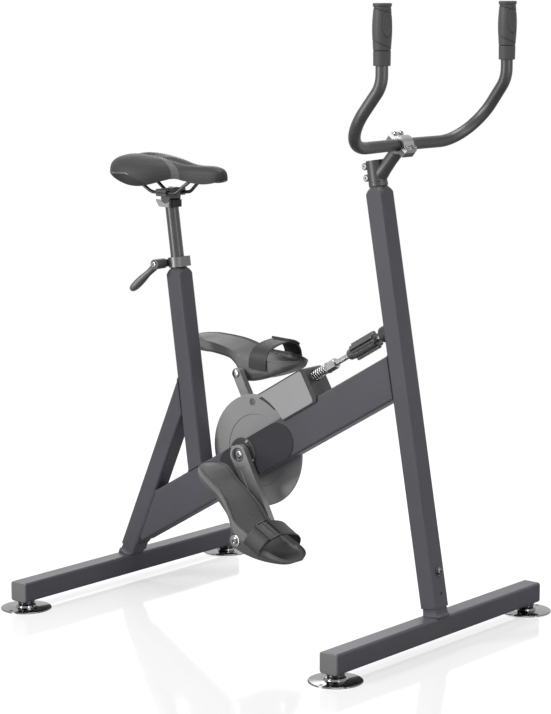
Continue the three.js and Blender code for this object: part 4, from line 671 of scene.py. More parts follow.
# The frame: square tubes with drawn-in necks, on two base bars
TUBE, TUBE_CORNER, TUBE_INSIDE = 40, 5, (36, 36, 3)
BEAM_TALL = 80
TUBE_SIDE = TUBE / 2 + 0.3  # where the next piece starts
BAR_AHEAD, BAR_HALF = 395.5, 328.2
FOOT_OUT = 310
BEARING_HOLE, BEARING_LIFT = 23.3, 14.2  # its radius, and how far it lies from the brake frame's origin
BOLT_BORE, POST_BORE = 4.4, 14.7
POST_BOLT_UP, POST_PIN_UP = 84, 42
POST_BOLT = [(0, 6.3), (4, 6.3), (4, 20.3), (8.6, 20.3), (9, 20.6), (9, 21.6), (8.7, 21.9), (6.6, 21.9),
             (6.6, 23.5), (5.8, 25.4), (4.2, 26.3), (0, 26.4)]


def tube(size, low, high):
    """A closed tube's outside: its width, depth and corner radius, between two heights."""
    return loft([ring_round(*size, height) for height in (low, high)])


def square_rings(rings):
    return loft([ring_round(width, width, corner, height) for width, corner, height in rings])


def square_tube(low, high):
    return tube((TUBE, TUBE, TUBE_CORNER), low, high)


def necked_tube(low, shoulder, neck, top):
    """A square tube whose corners are turned down to a round neck."""
    blank = square_tube(low, top)
    lathe = turned([(0, low - 5), (40, low - 5), (40, shoulder - 10), (27.6, shoulder - 4),
                    (26.6, shoulder + 1), (25, shoulder + 5), (22.6, shoulder + 9), (19.4, shoulder + 12.4),
                    (neck + 0.8, shoulder + 14), (neck, shoulder + 16), (neck, top + 5), (0, top + 5)], 96)
    return carved(blank, lathe, how="INTERSECT")


# A threaded nut between two rings, and the foot under it: radius and height
FOOT_NUT = [(8.4, -28.1), (14.6, -28.1), (15.6, -27.7), (16, -27), (16, -26.4), (14.2, -25.9), (14.2, -25.5),
            (16.6, -25), (16.9, -24.4), (16.6, -23.8), (14.4, -23.2), (14.4, -22.8), (16.8, -22.3),
            (17, -21.6), (17, -20.1), (8.4, -20.1), (8.4, -28.1)]
FOOT = [(0, 0), (49.6, 0), (50.7, 0.4), (51, 1.1), (51, 1.7), (50.5, 2.4), (49, 2.8), (24, 3.4), (22, 3.9),
        (20.6, 5.2), (19.8, 7.9), (19, 8.5), (10, 8.6), (8, 8.6), (8, 38.6), (0, 38.6)]
FOOT_HOLE, FOOT_HOLE_OUT = 3.5, 43
# Rings of a cap's flange and of a stub: width, corner radius and height
FLANGE_RINGS = [(39, 4.6, 0), (40, 5, 0.4), (40, 5, 2.2), (39.6, 5, 3.1), (38.6, 4.7, 3.7), (37, 4.2, 4)]
STUB_RINGS = [(43, 8.5, -20), (43, 8.5, 0.2), (41.6, 8, 0.7), (39.4, 6.9, 1.9), (37.6, 5.7, 3.8),
              (36.3, 4.8, 6.4), (35.6, 4.3, 9.4), (35.3, 4, 13), (35.3, 4, 110)]


def make_bases():
    for end, x in (("front", BAR_AHEAD), ("rear", -BAR_AHEAD)):
        own = frame_at((x, 0, BAR_MIDDLE))
        outline = [(a, b) for a, b, _ in ring_round(TUBE, TUBE, TUBE_CORNER, 0)]
        replace(end + "_base_bar", prism(outline, -BAR_HALF, BAR_HALF, "Y"), own, smooth=30, round_over=0.4)
        nuts = [moved(turned(FOOT_NUT, 72), Matrix.Translation((0, y, 0))) for y in (-FOOT_OUT, FOOT_OUT)]
        stand(end + "_foot_nuts", joined(*nuts), own, DARK_STEEL, BODY_OF[end + "_base_bar"], smooth=30)
        for side, sy in (("left", 1), ("right", -1)):
            outwards = Matrix.Rotation(-sy * math.pi / 2, 4, "X")
            place = Matrix.Translation((x, sy * (BAR_HALF + 0.3), BAR_MIDDLE)) @ outwards
            replace(f"{end}_{side}_cap", square_rings(FLANGE_RINGS), place, smooth=50)
            hole = rod(FOOT_HOLE, -5, 10, place=(0, sy * FOOT_HOLE_OUT, 0), steps=SLIM)
            foot = carved(turned(FOOT, 96), hole)
            replace(f"{end}_{side}_foot", foot, frame_at((x, sy * FOOT_OUT, 0)), smooth=40)


def make_frame():
    def bolt_hole(radius, height):
        return rod(radius, 0, TUBE, "X", (0, 0, height), SLIM)

    for node, matrix in (("front_stub", POST_FRAME), ("rear_stub", STRUT_FRAME)):
        stub = square_rings(STUB_RINGS)
        level = matrix.inverted() @ Vector((matrix.translation.x, 0, BAR_TOP + 0.3))
        cut_flat(stub, level, matrix.inverted().to_3x3() @ -AXIS_Z)
        if node == "front_stub":
            stub = carved(stub, bolt_hole(BOLT_BORE, POST_BOLT_UP))
        replace(node, stub, matrix, smooth=40)
    post = carved(necked_tube(16, 807, 17, 823), tube(TUBE_INSIDE, 0, 150),
                  bolt_hole(BOLT_BORE, POST_BOLT_UP), bolt_hole(3, POST_PIN_UP), rod(POST_BORE, 760, 840))
    replace("front_post", post, POST_FRAME, smooth=30, round_over=0.35)
    bolt = keyed(turned(POST_BOLT, SLIM, "X"), 5, 23.6, 28, "X")
    replace("post_bolt", bolt, POST_FRAME @ Matrix.Translation((0, 0, POST_BOLT_UP)), smooth=40)
    beam = moved(tube((BEAM_TALL, TUBE, TUBE_CORNER), -420, 460), Matrix.Rotation(math.pi / 2, 4, "Y"))
    cut_to(beam, BEAM_FRAME, POST_FRAME, (-TUBE_SIDE, 0, 0), AXIS_X)
    cut_to(beam, BEAM_FRAME, STRUT_FRAME, (TUBE_SIDE, 0, 0), -AXIS_X)
    beam = carved(beam, rod(BEARING_HOLE, -40, 40, "Y", (BRAKE_ALONG, 0, BEARING_LIFT)))
    replace("main_beam", beam, BEAM_FRAME, smooth=30, round_over=0.35)
    seat = necked_tube(-80, 376, 16, 410)
    cut_to(seat, SEAT_FRAME, BEAM_FRAME, (0, 0, BEAM_TALL / 2 + 0.3), -AXIS_Z)
    replace("seat_tube", carved(seat, rod(14, 350, 420)), SEAT_FRAME, smooth=30, round_over=0.35)
    strut = square_tube(16, 470)
    cut_to(strut, STRUT_FRAME, SEAT_FRAME, (-TUBE_SIDE, 0, 0), AXIS_X)
    replace("rear_strut", carved(strut, tube(TUBE_INSIDE, 0, 150)), STRUT_FRAME, smooth=30, round_over=0.35)
    outline = arc(95, 0, 38, -90, 90, 32) + arc(-37, 0, 38, 90, 270, 32)
    plate = carved(prism(outline, -21.5, -TUBE_SIDE, "Y"),
                   rod(BEARING_HOLE, -40, 40, "Y", (0, 0, BEARING_LIFT)))
    replace("beam_doubler", plate, BRAKE_FRAME, smooth=30, round_over=0.4)
    replace("steerer_tube", turned([
        (0, 747), (14.3, 747), (14.3, 823.3), (17.7, 823.3), (18.4, 823.8), (18.5, 824.4), (18.5, 826.6),
        (18.2, 827), (18.2, 827.3), (18.5, 827.7), (18.5, 830.2), (18.3, 830.9), (17.6, 831.3), (14.3, 831.3),
        (14.3, 866.6), (13.6, 867.3), (0, 867.3)]), POST_FRAME, smooth=40)


def make_row_tree():
    """Geometry nodes that set small rounded forms in a row along a path, each turned along it."""
    tree, come, go = new_group("row of forms", [
        ("Geometry", GEOMETRY, None), ("Step", FLOAT, 0.003), ("Half Length", FLOAT, 0.001),
        ("Half Width", FLOAT, 0.001), ("Half Height", FLOAT, 0.001), ("Material", MATERIAL, None),
    ], [("Geometry", GEOMETRY)], "GeometryNodeTree")
    curve = add_node(tree, "GeometryNodeMeshToCurve", {"Mesh": come.outputs["Geometry"]})
    points = add_node(tree, "GeometryNodeCurveToPoints",
                      {"Curve": curve.outputs["Curve"], "Length": come.outputs["Step"]}, mode="LENGTH")
    form = add_node(tree, "GeometryNodeMeshUVSphere", {"Segments": 10, "Rings": 6, "Radius": 1.0})
    size = add_node(tree, "ShaderNodeCombineXYZ", {
        "X": come.outputs["Half Height"], "Y": come.outputs["Half Width"], "Z": come.outputs["Half Length"]})
    set_out = add_node(tree, "GeometryNodeInstanceOnPoints", {
        "Points": points.outputs["Points"], "Instance": form.outputs["Mesh"],
        "Rotation": points.outputs["Rotation"], "Scale": size.outputs["Vector"]})
    real = add_node(tree, "GeometryNodeRealizeInstances", {"Geometry": set_out.outputs["Instances"]})
    smooth = add_node(tree, "GeometryNodeSetShadeSmooth", {"Geometry": real.outputs["Geometry"]})
    dressed = add_node(tree, "GeometryNodeSetMaterial", {
        "Geometry": smooth.outputs["Geometry"], "Material": come.outputs["Material"]})
    tree.links.new(dressed.outputs["Geometry"], go.inputs["Geometry"])
    return tree


def make_ring_tree():
    """Geometry nodes that set screws round a ring: low round heads with a hollow, facing out along Z."""
    tree, come, go = new_group("screw ring", [
        ("Geometry", GEOMETRY, None), ("Count", COUNT, 4), ("Ring Radius", FLOAT, 0.02),
        ("Head Radius", FLOAT, 0.003), ("Head Height", FLOAT, 0.0015), ("Material", MATERIAL, None),
    ], [("Geometry", GEOMETRY)], "GeometryNodeTree")
    ring = add_node(tree, "GeometryNodeMeshCircle", {
        "Vertices": come.outputs["Count"], "Radius": come.outputs["Ring Radius"]})
    head = add_node(tree, "GeometryNodeMeshCone", {
        "Vertices": 24, "Radius Top": 0.78, "Radius Bottom": 1.0, "Depth": 1.0})
    key = add_node(tree, "GeometryNodeMeshCylinder", {"Vertices": 6, "Radius": 0.45, "Depth": 0.8})
    lift = add_node(tree, "GeometryNodeTransform", {
        "Geometry": key.outputs["Mesh"], "Translation": (0, 0, 0.75)})
    screw = add_node(tree, "GeometryNodeMeshBoolean", {
        "Mesh 1": head.outputs["Mesh"], "Mesh 2": lift.outputs["Geometry"]}, operation="DIFFERENCE")
    size = add_node(tree, "ShaderNodeCombineXYZ", {
        "X": come.outputs["Head Radius"], "Y": come.outputs["Head Radius"], "Z": come.outputs["Head Height"]})
    set_out = add_node(tree, "GeometryNodeInstanceOnPoints", {
        "Points": ring.outputs["Mesh"], "Instance": screw.outputs["Mesh"], "Scale": size.outputs["Vector"]})
    real = add_node(tree, "GeometryNodeRealizeInstances", {"Geometry": set_out.outputs["Instances"]})
    dressed = add_node(tree, "GeometryNodeSetMaterial", {
        "Geometry": real.outputs["Geometry"], "Material": come.outputs["Material"]})
    tree.links.new(dressed.outputs["Geometry"], go.inputs["Geometry"])
    return tree


def grown(name, base, tree, values, body):
    """A piece that a geometry tree grows on a base mesh, made a plain mesh that rides on a body."""
    holder = bpy.data.objects.new(name + "_base", base)
    bpy.context.scene.collection.objects.link(holder)
    grow = holder.modifiers.new("grow", "NODES")
    grow.node_group = tree
    sockets = {item.name: item.identifier for item in tree.interface.items_tree if item.in_out == "INPUT"}
    for label, value in values.items():
        grow[sockets[label]] = value
    shaped = holder.evaluated_get(bpy.context.evaluated_depsgraph_get())
    data = bpy.data.meshes.new_from_object(shaped)
    holder.modifiers.remove(grow)
    bpy.data.objects.remove(holder)
    piece = bpy.data.objects.new(name, data)
    bpy.context.scene.collection.objects.link(piece)
    data.set_sharp_from_angle(angle=math.radians(35))
    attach(piece, body)
    return piece


def row_of_forms(name, path, step, form, finish, body, closed=True):
    """Small rounded forms in a row along a path in millimetres: half their length, width and height."""
    data = bpy.data.meshes.new(name)
    count = len(path)
    edges = [(i, (i + 1) % count) for i in range(count if closed else count - 1)]
    data.from_pydata([Vector(point) * MM for point in path], edges, [])
    half_length, half_width, half_height = form
    grown(name, data, ROW_TREE, {
        "Step": step * MM, "Half Length": half_length * MM, "Half Width": half_width * MM,
        "Half Height": half_height * MM, "Material": finish}, body)


def screw_ring(name, count, ring, head, height, matrix, finish, body, start=0.0):
    """Screws round a ring about a frame's -Y, their heads facing out that way."""
    data = bpy.data.meshes.new(name)
    piece = grown(name, data, RING_TREE, {
        "Count": count, "Ring Radius": ring * MM, "Head Radius": head * MM, "Head Height": height * MM,
        "Material": finish}, body)
    turn = matrix.copy()
    turn.translation = turn.translation * MM
    spin = Matrix.Rotation(math.pi / 2, 4, "X") @ Matrix.Rotation(math.radians(start), 4, "Z")
    piece.data.transform(turn @ spin)


ROW_TREE, RING_TREE = make_row_tree(), make_ring_tree()
WELD_CORNER_STEPS = 6
WELD_STEP = 2.2
WELD_FORM = (1.7, 1.6, 1.6)
WELD_SIDE = TUBE / 2 + 0.1


def make_welds():
    """Beads where a tube's outline, drawn along the tube, meets a flat face of another one."""
    along_beam = BEAM_FRAME @ Matrix.Rotation(math.pi / 2, 4, "Y")
    for name, width, own, other, place, way in (
            ("beam_front_weld", BEAM_TALL, along_beam, POST_FRAME, (-WELD_SIDE, 0, 0), AXIS_X),
            ("beam_rear_weld", BEAM_TALL, along_beam, STRUT_FRAME, (WELD_SIDE, 0, 0), AXIS_X),
            ("seat_tube_weld", TUBE, SEAT_FRAME, BEAM_FRAME, (0, 0, BEAM_TALL / 2 + 0.1), AXIS_Z),
            ("strut_weld", TUBE, STRUT_FRAME, SEAT_FRAME, (-WELD_SIDE, 0, 0), AXIS_X)):
        across = own.inverted() @ other
        place, way = across @ Vector(place), across.to_3x3() @ way
        path = []
        for point in ring_round(width, TUBE, TUBE_CORNER, 0, WELD_CORNER_STEPS):
            start = Vector(point)
            path.append(own @ (start + Vector((0, 0, (place - start).dot(way) / way.z))))
        row_of_forms(name, path, WELD_STEP, WELD_FORM, FRAME_PAINT, "frame")


# The drive: bearings, axle, cranks and disc
CRANK_REACH = 165
AXLE_BORE, PEDAL_BORE = 10.4, 7.4  # radii
HUB_BACK = 33.2
DISC_HOLE_TURN, DISC_HOLE_OUT = 68.5, 98
BEARING = [(10.4, 0), (13.4, 0), (13.4, 1.5), (16, 1.5), (16, 0), (19, 0), (19, 12), (10.4, 12), (10.4, 0)]
CRANK_BOLT = [(0, -1.2), (5.4, -1.2), (6.6, -0.8), (8.4, 0.3), (8.8, 1), (11, 1), (11.2, 1.3), (11.2, 2.8),
              (4, 3), (4, 22), (0, 22)]
# Painted shade: a black ring filling the crank's recess round the bolt, standing in for the shade in the
# recess.
CRANK_RECESS_SHADE_RING = [(11.4, 1.4), (14.2, 1.4), (14.2, 3.9), (11.4, 3.9), (11.4, 1.4)]


def crank_arm(root, tip):
    """An arm that hangs from its root, tapered to its tip, with a sunk panel and three bores."""
    lean = math.degrees(math.asin((root - tip) / CRANK_REACH))
    outline = arc(0, 0, root, -lean, 180 + lean, 40) + arc(0, -CRANK_REACH, tip, 180 + lean, 360 - lean, 32)
    arm = prism(outline, 0, 14, "Y")
    if root < 20:
        arm = carved(arm, rod(20, 0, 14, "Y"), how="UNION")
    width = tip * 0.54
    panel = arc(0, -25 - width, width, 0, 180, 20) + arc(0, tip + width - 160, width, 180, 360, 20)
    return carved(arm, prism(panel, -6, 1, "Y"), rod(14.5, -6, 4, "Y"), rod(AXLE_BORE, -6, 20, "Y"),
                  rod(PEDAL_BORE, -6, 20, "Y", (0, 0, -CRANK_REACH)))


def make_drive():
    replace("bearing_housing", turned([
        (19.3, -21.5), (22.6, -21.5), (23, -21.1), (23, 20), (19.3, 20), (19.3, -21.5)], along="Y"),
        CRANK_FRAME, smooth=40)
    for node, start in (("right_bearing", -21.5), ("left_bearing", 8)):
        profile = [(radius, start + height) for radius, height in BEARING]
        replace(node, turned(profile, along="Y"), CRANK_FRAME, smooth=40)
    replace("bearing_cover", turned([
        (15, -23.6), (31.6, -23.6), (32.5, -23.3), (33, -22.6), (33, -21.8), (15, -21.8), (15, -23.6)],
        96, "Y"), CRANK_FRAME, smooth=40)
    screw_ring("bearing_cover_screws", 4, 27.5, 3.4, 2.2, CRANK_FRAME @ Matrix.Translation((0, -23.5, 0)),
               BRIGHT_STEEL, BODY_OF["bearing_cover"], 40)
    for side, root, tip, turn, face, seat in (
            ("right", 20, 15, 0, -38.6, -35.6), ("left", 12, 10.5, 180, 64, 61)):
        spin = Matrix.Rotation(math.radians(turn), 4, "X")
        place = CRANK_FRAME @ Matrix.Translation((0, face, 0)) @ spin
        replace(side + "_crank_arm", crank_arm(root, tip), place, smooth=30, round_over=0.9, segments=3)
        # A black ring in the recess, as painted shade round the bolt.
        stand(side + "_crank_recess_shade", turned(CRANK_RECESS_SHADE_RING, along="Y"), place, BLACK_METAL,
              BODY_OF[side + "_crank_arm"])
        bolt = keyed(turned(CRANK_BOLT, 48, "Y"), 8, -5, 1.6, "Y")
        replace(side + "_crank_bolt", bolt, CRANK_FRAME @ Matrix.Translation((0, seat, 0)) @ spin)
    axle = carved(rod(10, -34.3, 59.7, "Y"), rod(BOLT_BORE, -40, -6.3, "Y"), rod(BOLT_BORE, 31.7, 70, "Y"))
    replace("crank_axle", axle, CRANK_FRAME, smooth=35)
    disc = turned([
        (13.9, 22.8), (72.2, 22.8), (72.9, 23.3), (73.3, 23.3), (74, 22.1), (74.4, 22), (112.4, 22),
        (113.5, 22.4), (114, 23.4), (114, 26.6), (113.5, 27.6), (112.4, 28), (74.4, 28), (73.9, 27.7),
        (73.4, 27.7), (72.8, 28), (13.9, 28), (13.9, 22.8)], 160, "Y")
    turn = math.radians(DISC_HOLE_TURN)
    hole = rod(8, 0, 40, "Y", (DISC_HOLE_OUT * math.cos(turn), 0, DISC_HOLE_OUT * math.sin(turn)), SLIM)
    replace("resistance_disc", carved(disc, hole), CRANK_FRAME, smooth=30)
    replace("disc_hub", turned([
        (10.4, 22.8), (13.6, 22.8), (13.6, 28.3), (41.2, 28.3), (42, 29), (42, 32.6), (41.2, 33.3),
        (27.5, 33.3), (26, 34.4), (25.4, 49), (24.6, 49.7), (10.4, 49.7), (10.4, 22.8)],
        96, "Y"), CRANK_FRAME, smooth=40)
    back = CRANK_FRAME @ Matrix.Translation((0, HUB_BACK, 0)) @ Matrix.Rotation(math.pi, 4, "X")
    screw_ring("hub_screws", 6, 34, 3.2, 2, back, BRIGHT_STEEL, BODY_OF["disc_hub"], 10)


# The pedals: foot-shaped bodies from rows, their spindles, and their straps with buckle and stitches
PEDAL_ROWS = [
    (-180, 24, 38, 46, 46, 38, 1), (-177, 13, 48, 48, 48, 35, 1.5), (-169, 5, 59, 52.5, 50.5, 32, 2),
    (-158, 1, 67.5, 57, 53, 29.5, 2), (-144, 0, 74, 60, 54.5, 28, 2), (-128, 0, 78, 57, 55.5, 27, 2),
    (-112, 0, 80, 52, 55.5, 26.5, 2), (-90, 0, 82, 49.5, 55, 27, 2), (-68, 0, 87.5, 47, 52.5, 25.5, 2),
    (-50, 0, 93, 44, 48, 23.5, 2.5), (-38, 0, 97, 41, 44, 20, 3), (-24, 0, 100.5, 36.5, 39, 9.5, 4.5),
    (-12, 0, 102, 33, 36, -8, 6), (0, 0, 102, 31, 35, -18, 7.5), (12, 0, 102, 30, 35, -18, 10),
    (30, 0, 102, 30, 35, -14, 14), (50, 0, 101.5, 30.5, 35, -7.5, 17),
    (70, 0, 98, 32, 33.5, 0, 18), (86, 1.5, 92.5, 34, 32, 7, 16), (99, 6, 85, 36, 31.5, 13, 13),
    (108.5, 12.5, 76, 37, 32, 18, 10), (114.5, 20, 68, 37, 33, 23, 6.5), (118, 27, 61, 36.5, 34, 28, 4),
    (119.5, 34, 54, 36, 34, 31, 2.5),
]
PEDAL_SECTION = [(0.45, 0), (0.82, 0), (0.93, 0.3), (1, 0.88), (0.99, 1), (0.962, 1), (0.925, 1.8), (0.5, 2),
                 (0.075, 1.8), (0.038, 1), (0.01, 1), (0, 0.88), (0.03, 0.3), (0.1, 0)]
PEDAL_RINGS = 560
# Points round each station between the section's own points: many over the footbed
PEDAL_POINTS = [5, 5, 5, 4, 3, 4, 12, 12, 4, 3, 4, 5, 5, 6]
TREAD_STEP = 3.4
TREAD_HEIGHT = 0.45
TREAD_CENTRE = (330, 46)


def tread_wave(x, y):
    """The footbed's fine arcs, from 0 to 1."""
    return abs(math.sin(math.pi * math.hypot(x - TREAD_CENTRE[0], y - TREAD_CENTRE[1]) / TREAD_STEP))


def pedal_place(x, y, z):
    """A point's share across the pedal, how far below the rim it is, and how deep bed and side are."""
    inner, outer, inner_rim, outer_rim, under, depth = (
        np.interp(x, [row[0] for row in PEDAL_ROWS], [row[i] for row in PEDAL_ROWS]) for i in range(1, 7))
    across = (y - inner) / (outer - inner)
    return across, inner_rim + (outer_rim - inner_rim) * across - z, depth, outer_rim - under


def pedal_crease_shade(x, y, z):
    """Painted shade: the dark line in the crease round the footbed, and the dark troughs between the fine
    arcs across it.
    """
    across, below, depth, _ = pedal_place(x, y, z)
    if below > depth + 1.5 or below < 0.15 * depth or not -174 < x < 60 or not 0.03 < across < 0.97:
        return 0.0
    edge = math.exp(-(((0.5 - abs(across - 0.5)) - 0.082) / 0.014) ** 2)
    return max(edge, 0.45 * (tread_wave(x, y) < 0.4) * (0.1 < across < 0.9))


def pedal_side(x, y, z):
    """The lighter walls of the pedal."""
    across, below, _, tall = pedal_place(x, y, z)
    outside = max(-across, across - 1) + 0.03 > 0
    return float(outside and 2 < below < 0.7 * tall)


def pedal_mesh():
    """A foot-shaped pedal: a ribbed footbed under a raised rim, and a groove round its side."""
    stations = smooth_rows(PEDAL_ROWS, even_places(PEDAL_ROWS, 0, PEDAL_RINGS))
    shares = [i + j / count for i, count in enumerate(PEDAL_POINTS) for j in range(count)]
    section = smooth_rows(PEDAL_SECTION, shares, closed=True)
    rings = []
    for x, inner, outer, inner_rim, outer_rim, under, depth in stations:
        ring = []
        for across, level in section:
            rim = inner_rim + (outer_rim - inner_rim) * across
            up = under + (rim - under) * level if level < 1 else rim - depth * (level - 1)
            y = inner + (outer - inner) * across
            on_bed = min(max((level - 1.72) / 0.12, 0), 1)
            ends = min(max((x + 170) / 12, 0), 1) * min(max((38 - x) / 20, 0), 1)
            up += TREAD_HEIGHT * tread_wave(x, y) ** 1.5 * on_bed * ends
            side = math.exp(-((level - 0.74) / 0.045) ** 2) if 0.3 < level < 1 else 0
            y += side * (1.1 if across < 0.5 else -1.1) * min(1, (outer - inner) / 60)
            ring.append((x, y, up))
        rings.append(ring)
    mesh = carved(loft(rings), rod(15.5, 46, 93, "Y", steps=48), how="UNION")
    return carved(mesh, rod(15.5, 93, 110, "Y", steps=48), rod(PEDAL_BORE, -10, 110, "Y", steps=48))


STRAP_SHARES = [(-1, 0.18), (-1, 0.36), (-0.98, 0.53), (-0.9, 0.68), (-0.73, 0.81), (-0.48, 0.9),
                (-0.18, 0.96), (0.18, 0.99), (0.5, 0.95), (0.78, 0.82), (0.93, 0.65), (0.995, 0.45),
                (1, 0.27)]
STRAP_MIDDLE = 51
STRAP_THICK = 3
STRAP_HALF = STRAP_MIDDLE + 0.75 + STRAP_THICK / 2
STRAP_UP = 65
STRAP_AHEAD = 47.5
STRAP_STEPS = 120


def strap_point(along, across, lift, skew):
    """A point of the strap on the pedal: along its path from 0 to 1, across it, and off its middle."""
    rows = [(share * STRAP_HALF, up * STRAP_UP) for share, up in STRAP_SHARES]
    here, after = smooth_rows(rows, [along * (len(rows) - 1), along * (len(rows) - 1) + 0.01])
    way = Vector((after[0] - here[0], after[1] - here[1])).normalized()
    side, up = here[0] - way.y * lift, here[1] + way.x * lift
    lean = -skew / (2 * STRAP_HALF)
    return (STRAP_AHEAD + skew / 2 + across + lean * side, STRAP_MIDDLE + side, up)


def band_mesh(start, end, half_width, low, high, skew, steps=STRAP_STEPS, rib=0.0):
    """A flat band along the strap's path, with rounded edges and two stitched ribs if asked."""
    edge = min(0.9, (high - low) * 0.4)
    section = []
    for i in range(21):
        share = -1 + i / 10
        bump = rib * (math.exp(-((abs(share) - 0.8) / 0.06) ** 2))
        section.append((share * (half_width - edge * 0.7), high + bump))
    section += [(half_width, high - edge), (half_width, low + edge), (half_width - edge, low)]
    section += [(-half_width + edge, low), (-half_width, low + edge), (-half_width, high - edge)]
    rings = []
    for i in range(steps + 1):
        along = start + (end - start) * i / steps
        rings.append([strap_point(along, across, lift, skew) for across, lift in section])
    return loft(rings)


SPINDLE_HEADS = {"left": [(0, -25.8), (6.8, -25.8), (8, -25), (8, -21.8), (7, -21.8)],
                 "right": [(0, -21.5), (7, -21.5)]}
SPINDLE = [(7, 93.3), (10.6, 93.3), (11.5, 93.9), (11.5, 94.9), (10.9, 95.3), (6.6, 95.4), (6.6, 99.5),
           (5.9, 100.3), (3.5, 100.3), (3.5, 97), (0, 97)]
BUCKLE_START, BUCKLE_END = 0.6, 0.745  # along the strap
STITCH_STEP, STITCH_FORM = 4.2, (1.5, 0.45, 0.35)


def make_pedals():
    for side, matrix, skew in (("left", LEFT_PEDAL_FRAME, -8), ("right", RIGHT_PEDAL_FRAME @ FLIP, 10)):
        replace(side + "_pedal", pedal_mesh(), matrix, smooth=50, even=False,
                marks={"line": pedal_crease_shade, "side": pedal_side})
        replace(side + "_spindle", turned(SPINDLE_HEADS[side] + SPINDLE, 48, "Y"), matrix)
        flat = STRAP_THICK / 2
        band = band_mesh(0, 1, 22.5, -flat, flat, skew, rib=0.35)
        tail = band_mesh(0.63, 0.93, 20.5, flat + 0.25, flat + 2.4, skew, 50, 0.3)
        replace(side + "_strap", joined(band, tail), matrix, smooth=40, even=False)
        buckle = []
        for start, end, top in ((BUCKLE_START, 0.622, 4.6), (0.664, 0.676, 3.8), (0.722, BUCKLE_END, 4.6)):
            buckle.append(band_mesh(start, end, 24, flat + 0.3, flat + top, skew, 8))
        for across in (-22.4, 22.4):
            rail = band_mesh(BUCKLE_START, BUCKLE_END, 1.9, flat + 0.3, flat + 4.2, skew, 24)
            buckle.append(moved(rail, Matrix.Translation((across, 0, 0))))
        stand(side + "_buckle", joined(*buckle), matrix, STRAP_RUBBER, BODY_OF[side + "_strap"], smooth=40,
              even=False)
        for edge, across in (("inner", -18.5), ("outer", 18.5)):
            path = [matrix @ Vector(strap_point(0.06 + 0.5 * i / 60, across, flat + 0.35, skew))
                    for i in range(61)]
            row_of_forms(f"{side}_strap_{edge}_stitches", path, STITCH_STEP, STITCH_FORM, STITCH_THREAD,
                         BODY_OF[side + "_strap"], closed=False)


# The brake: its housing, shoe, tension rod, spring, lock nut and knob
ROD_IN_POST = POST_FRAME.inverted() @ ROD_FRAME
ROD_MEET = (-TUBE / 2 - ROD_IN_POST.translation.x) / (ROD_IN_POST.to_3x3() @ AXIS_Z).x
ROD_END = ROD_MEET - 9.9
ROD_BORE = 5.9
SPRING_TURNS, SPRING_LOW, SPRING_HIGH, SPRING_RADIUS, SPRING_WIRE = 7, 222.5, 263.5, 8.5, 1.5
TURN_STEPS = 36
KNOB_START, KNOB_LONG, KNOB_RADIUS = ROD_END - 102, 76, 18
KNOB_RIBS = 6
KNOB_FLUTE = 0.27
KNOB_ROWS = [(0, 0.5), (0.012, 0.56), (0.04, 0.6), (0.16, 0.66), (0.19, 0.74), (0.22, 0.93), (0.24, 0.99),
             (0.27, 1), (0.9, 1), (0.965, 0.99), (0.99, 0.95), (1, 0.86)]


def knob_groove(turn):
    """How deep the knob's flutes are round it: flat-topped ribs with a rounded groove between them."""
    wave = 0.5 - 0.5 * math.cos(KNOB_RIBS * turn)
    return min(max((wave - 0.48) / 0.36, 0), 1) ** 0.8


def brake_outline(bottom, top, front, reach, corner):
    """The housing's outline in the brake's frame, hollow where it goes round the disc."""
    low = math.degrees(math.asin((bottom - BEARING_LIFT) / reach))
    high = math.degrees(math.asin((top - BEARING_LIFT) / reach))
    return (arc(front - corner, bottom + corner, corner, -90, 0, 10)
            + arc(front - corner, top - corner, corner, 0, 90, 10)
            + arc(0, BEARING_LIFT, reach, high, low, 40))


def knob_size(place, share, turn):
    flute = KNOB_FLUTE * knob_groove(turn) * min(max((share - 0.55) / 0.4, 0), 1)
    return KNOB_RADIUS * share * (1 - flute)


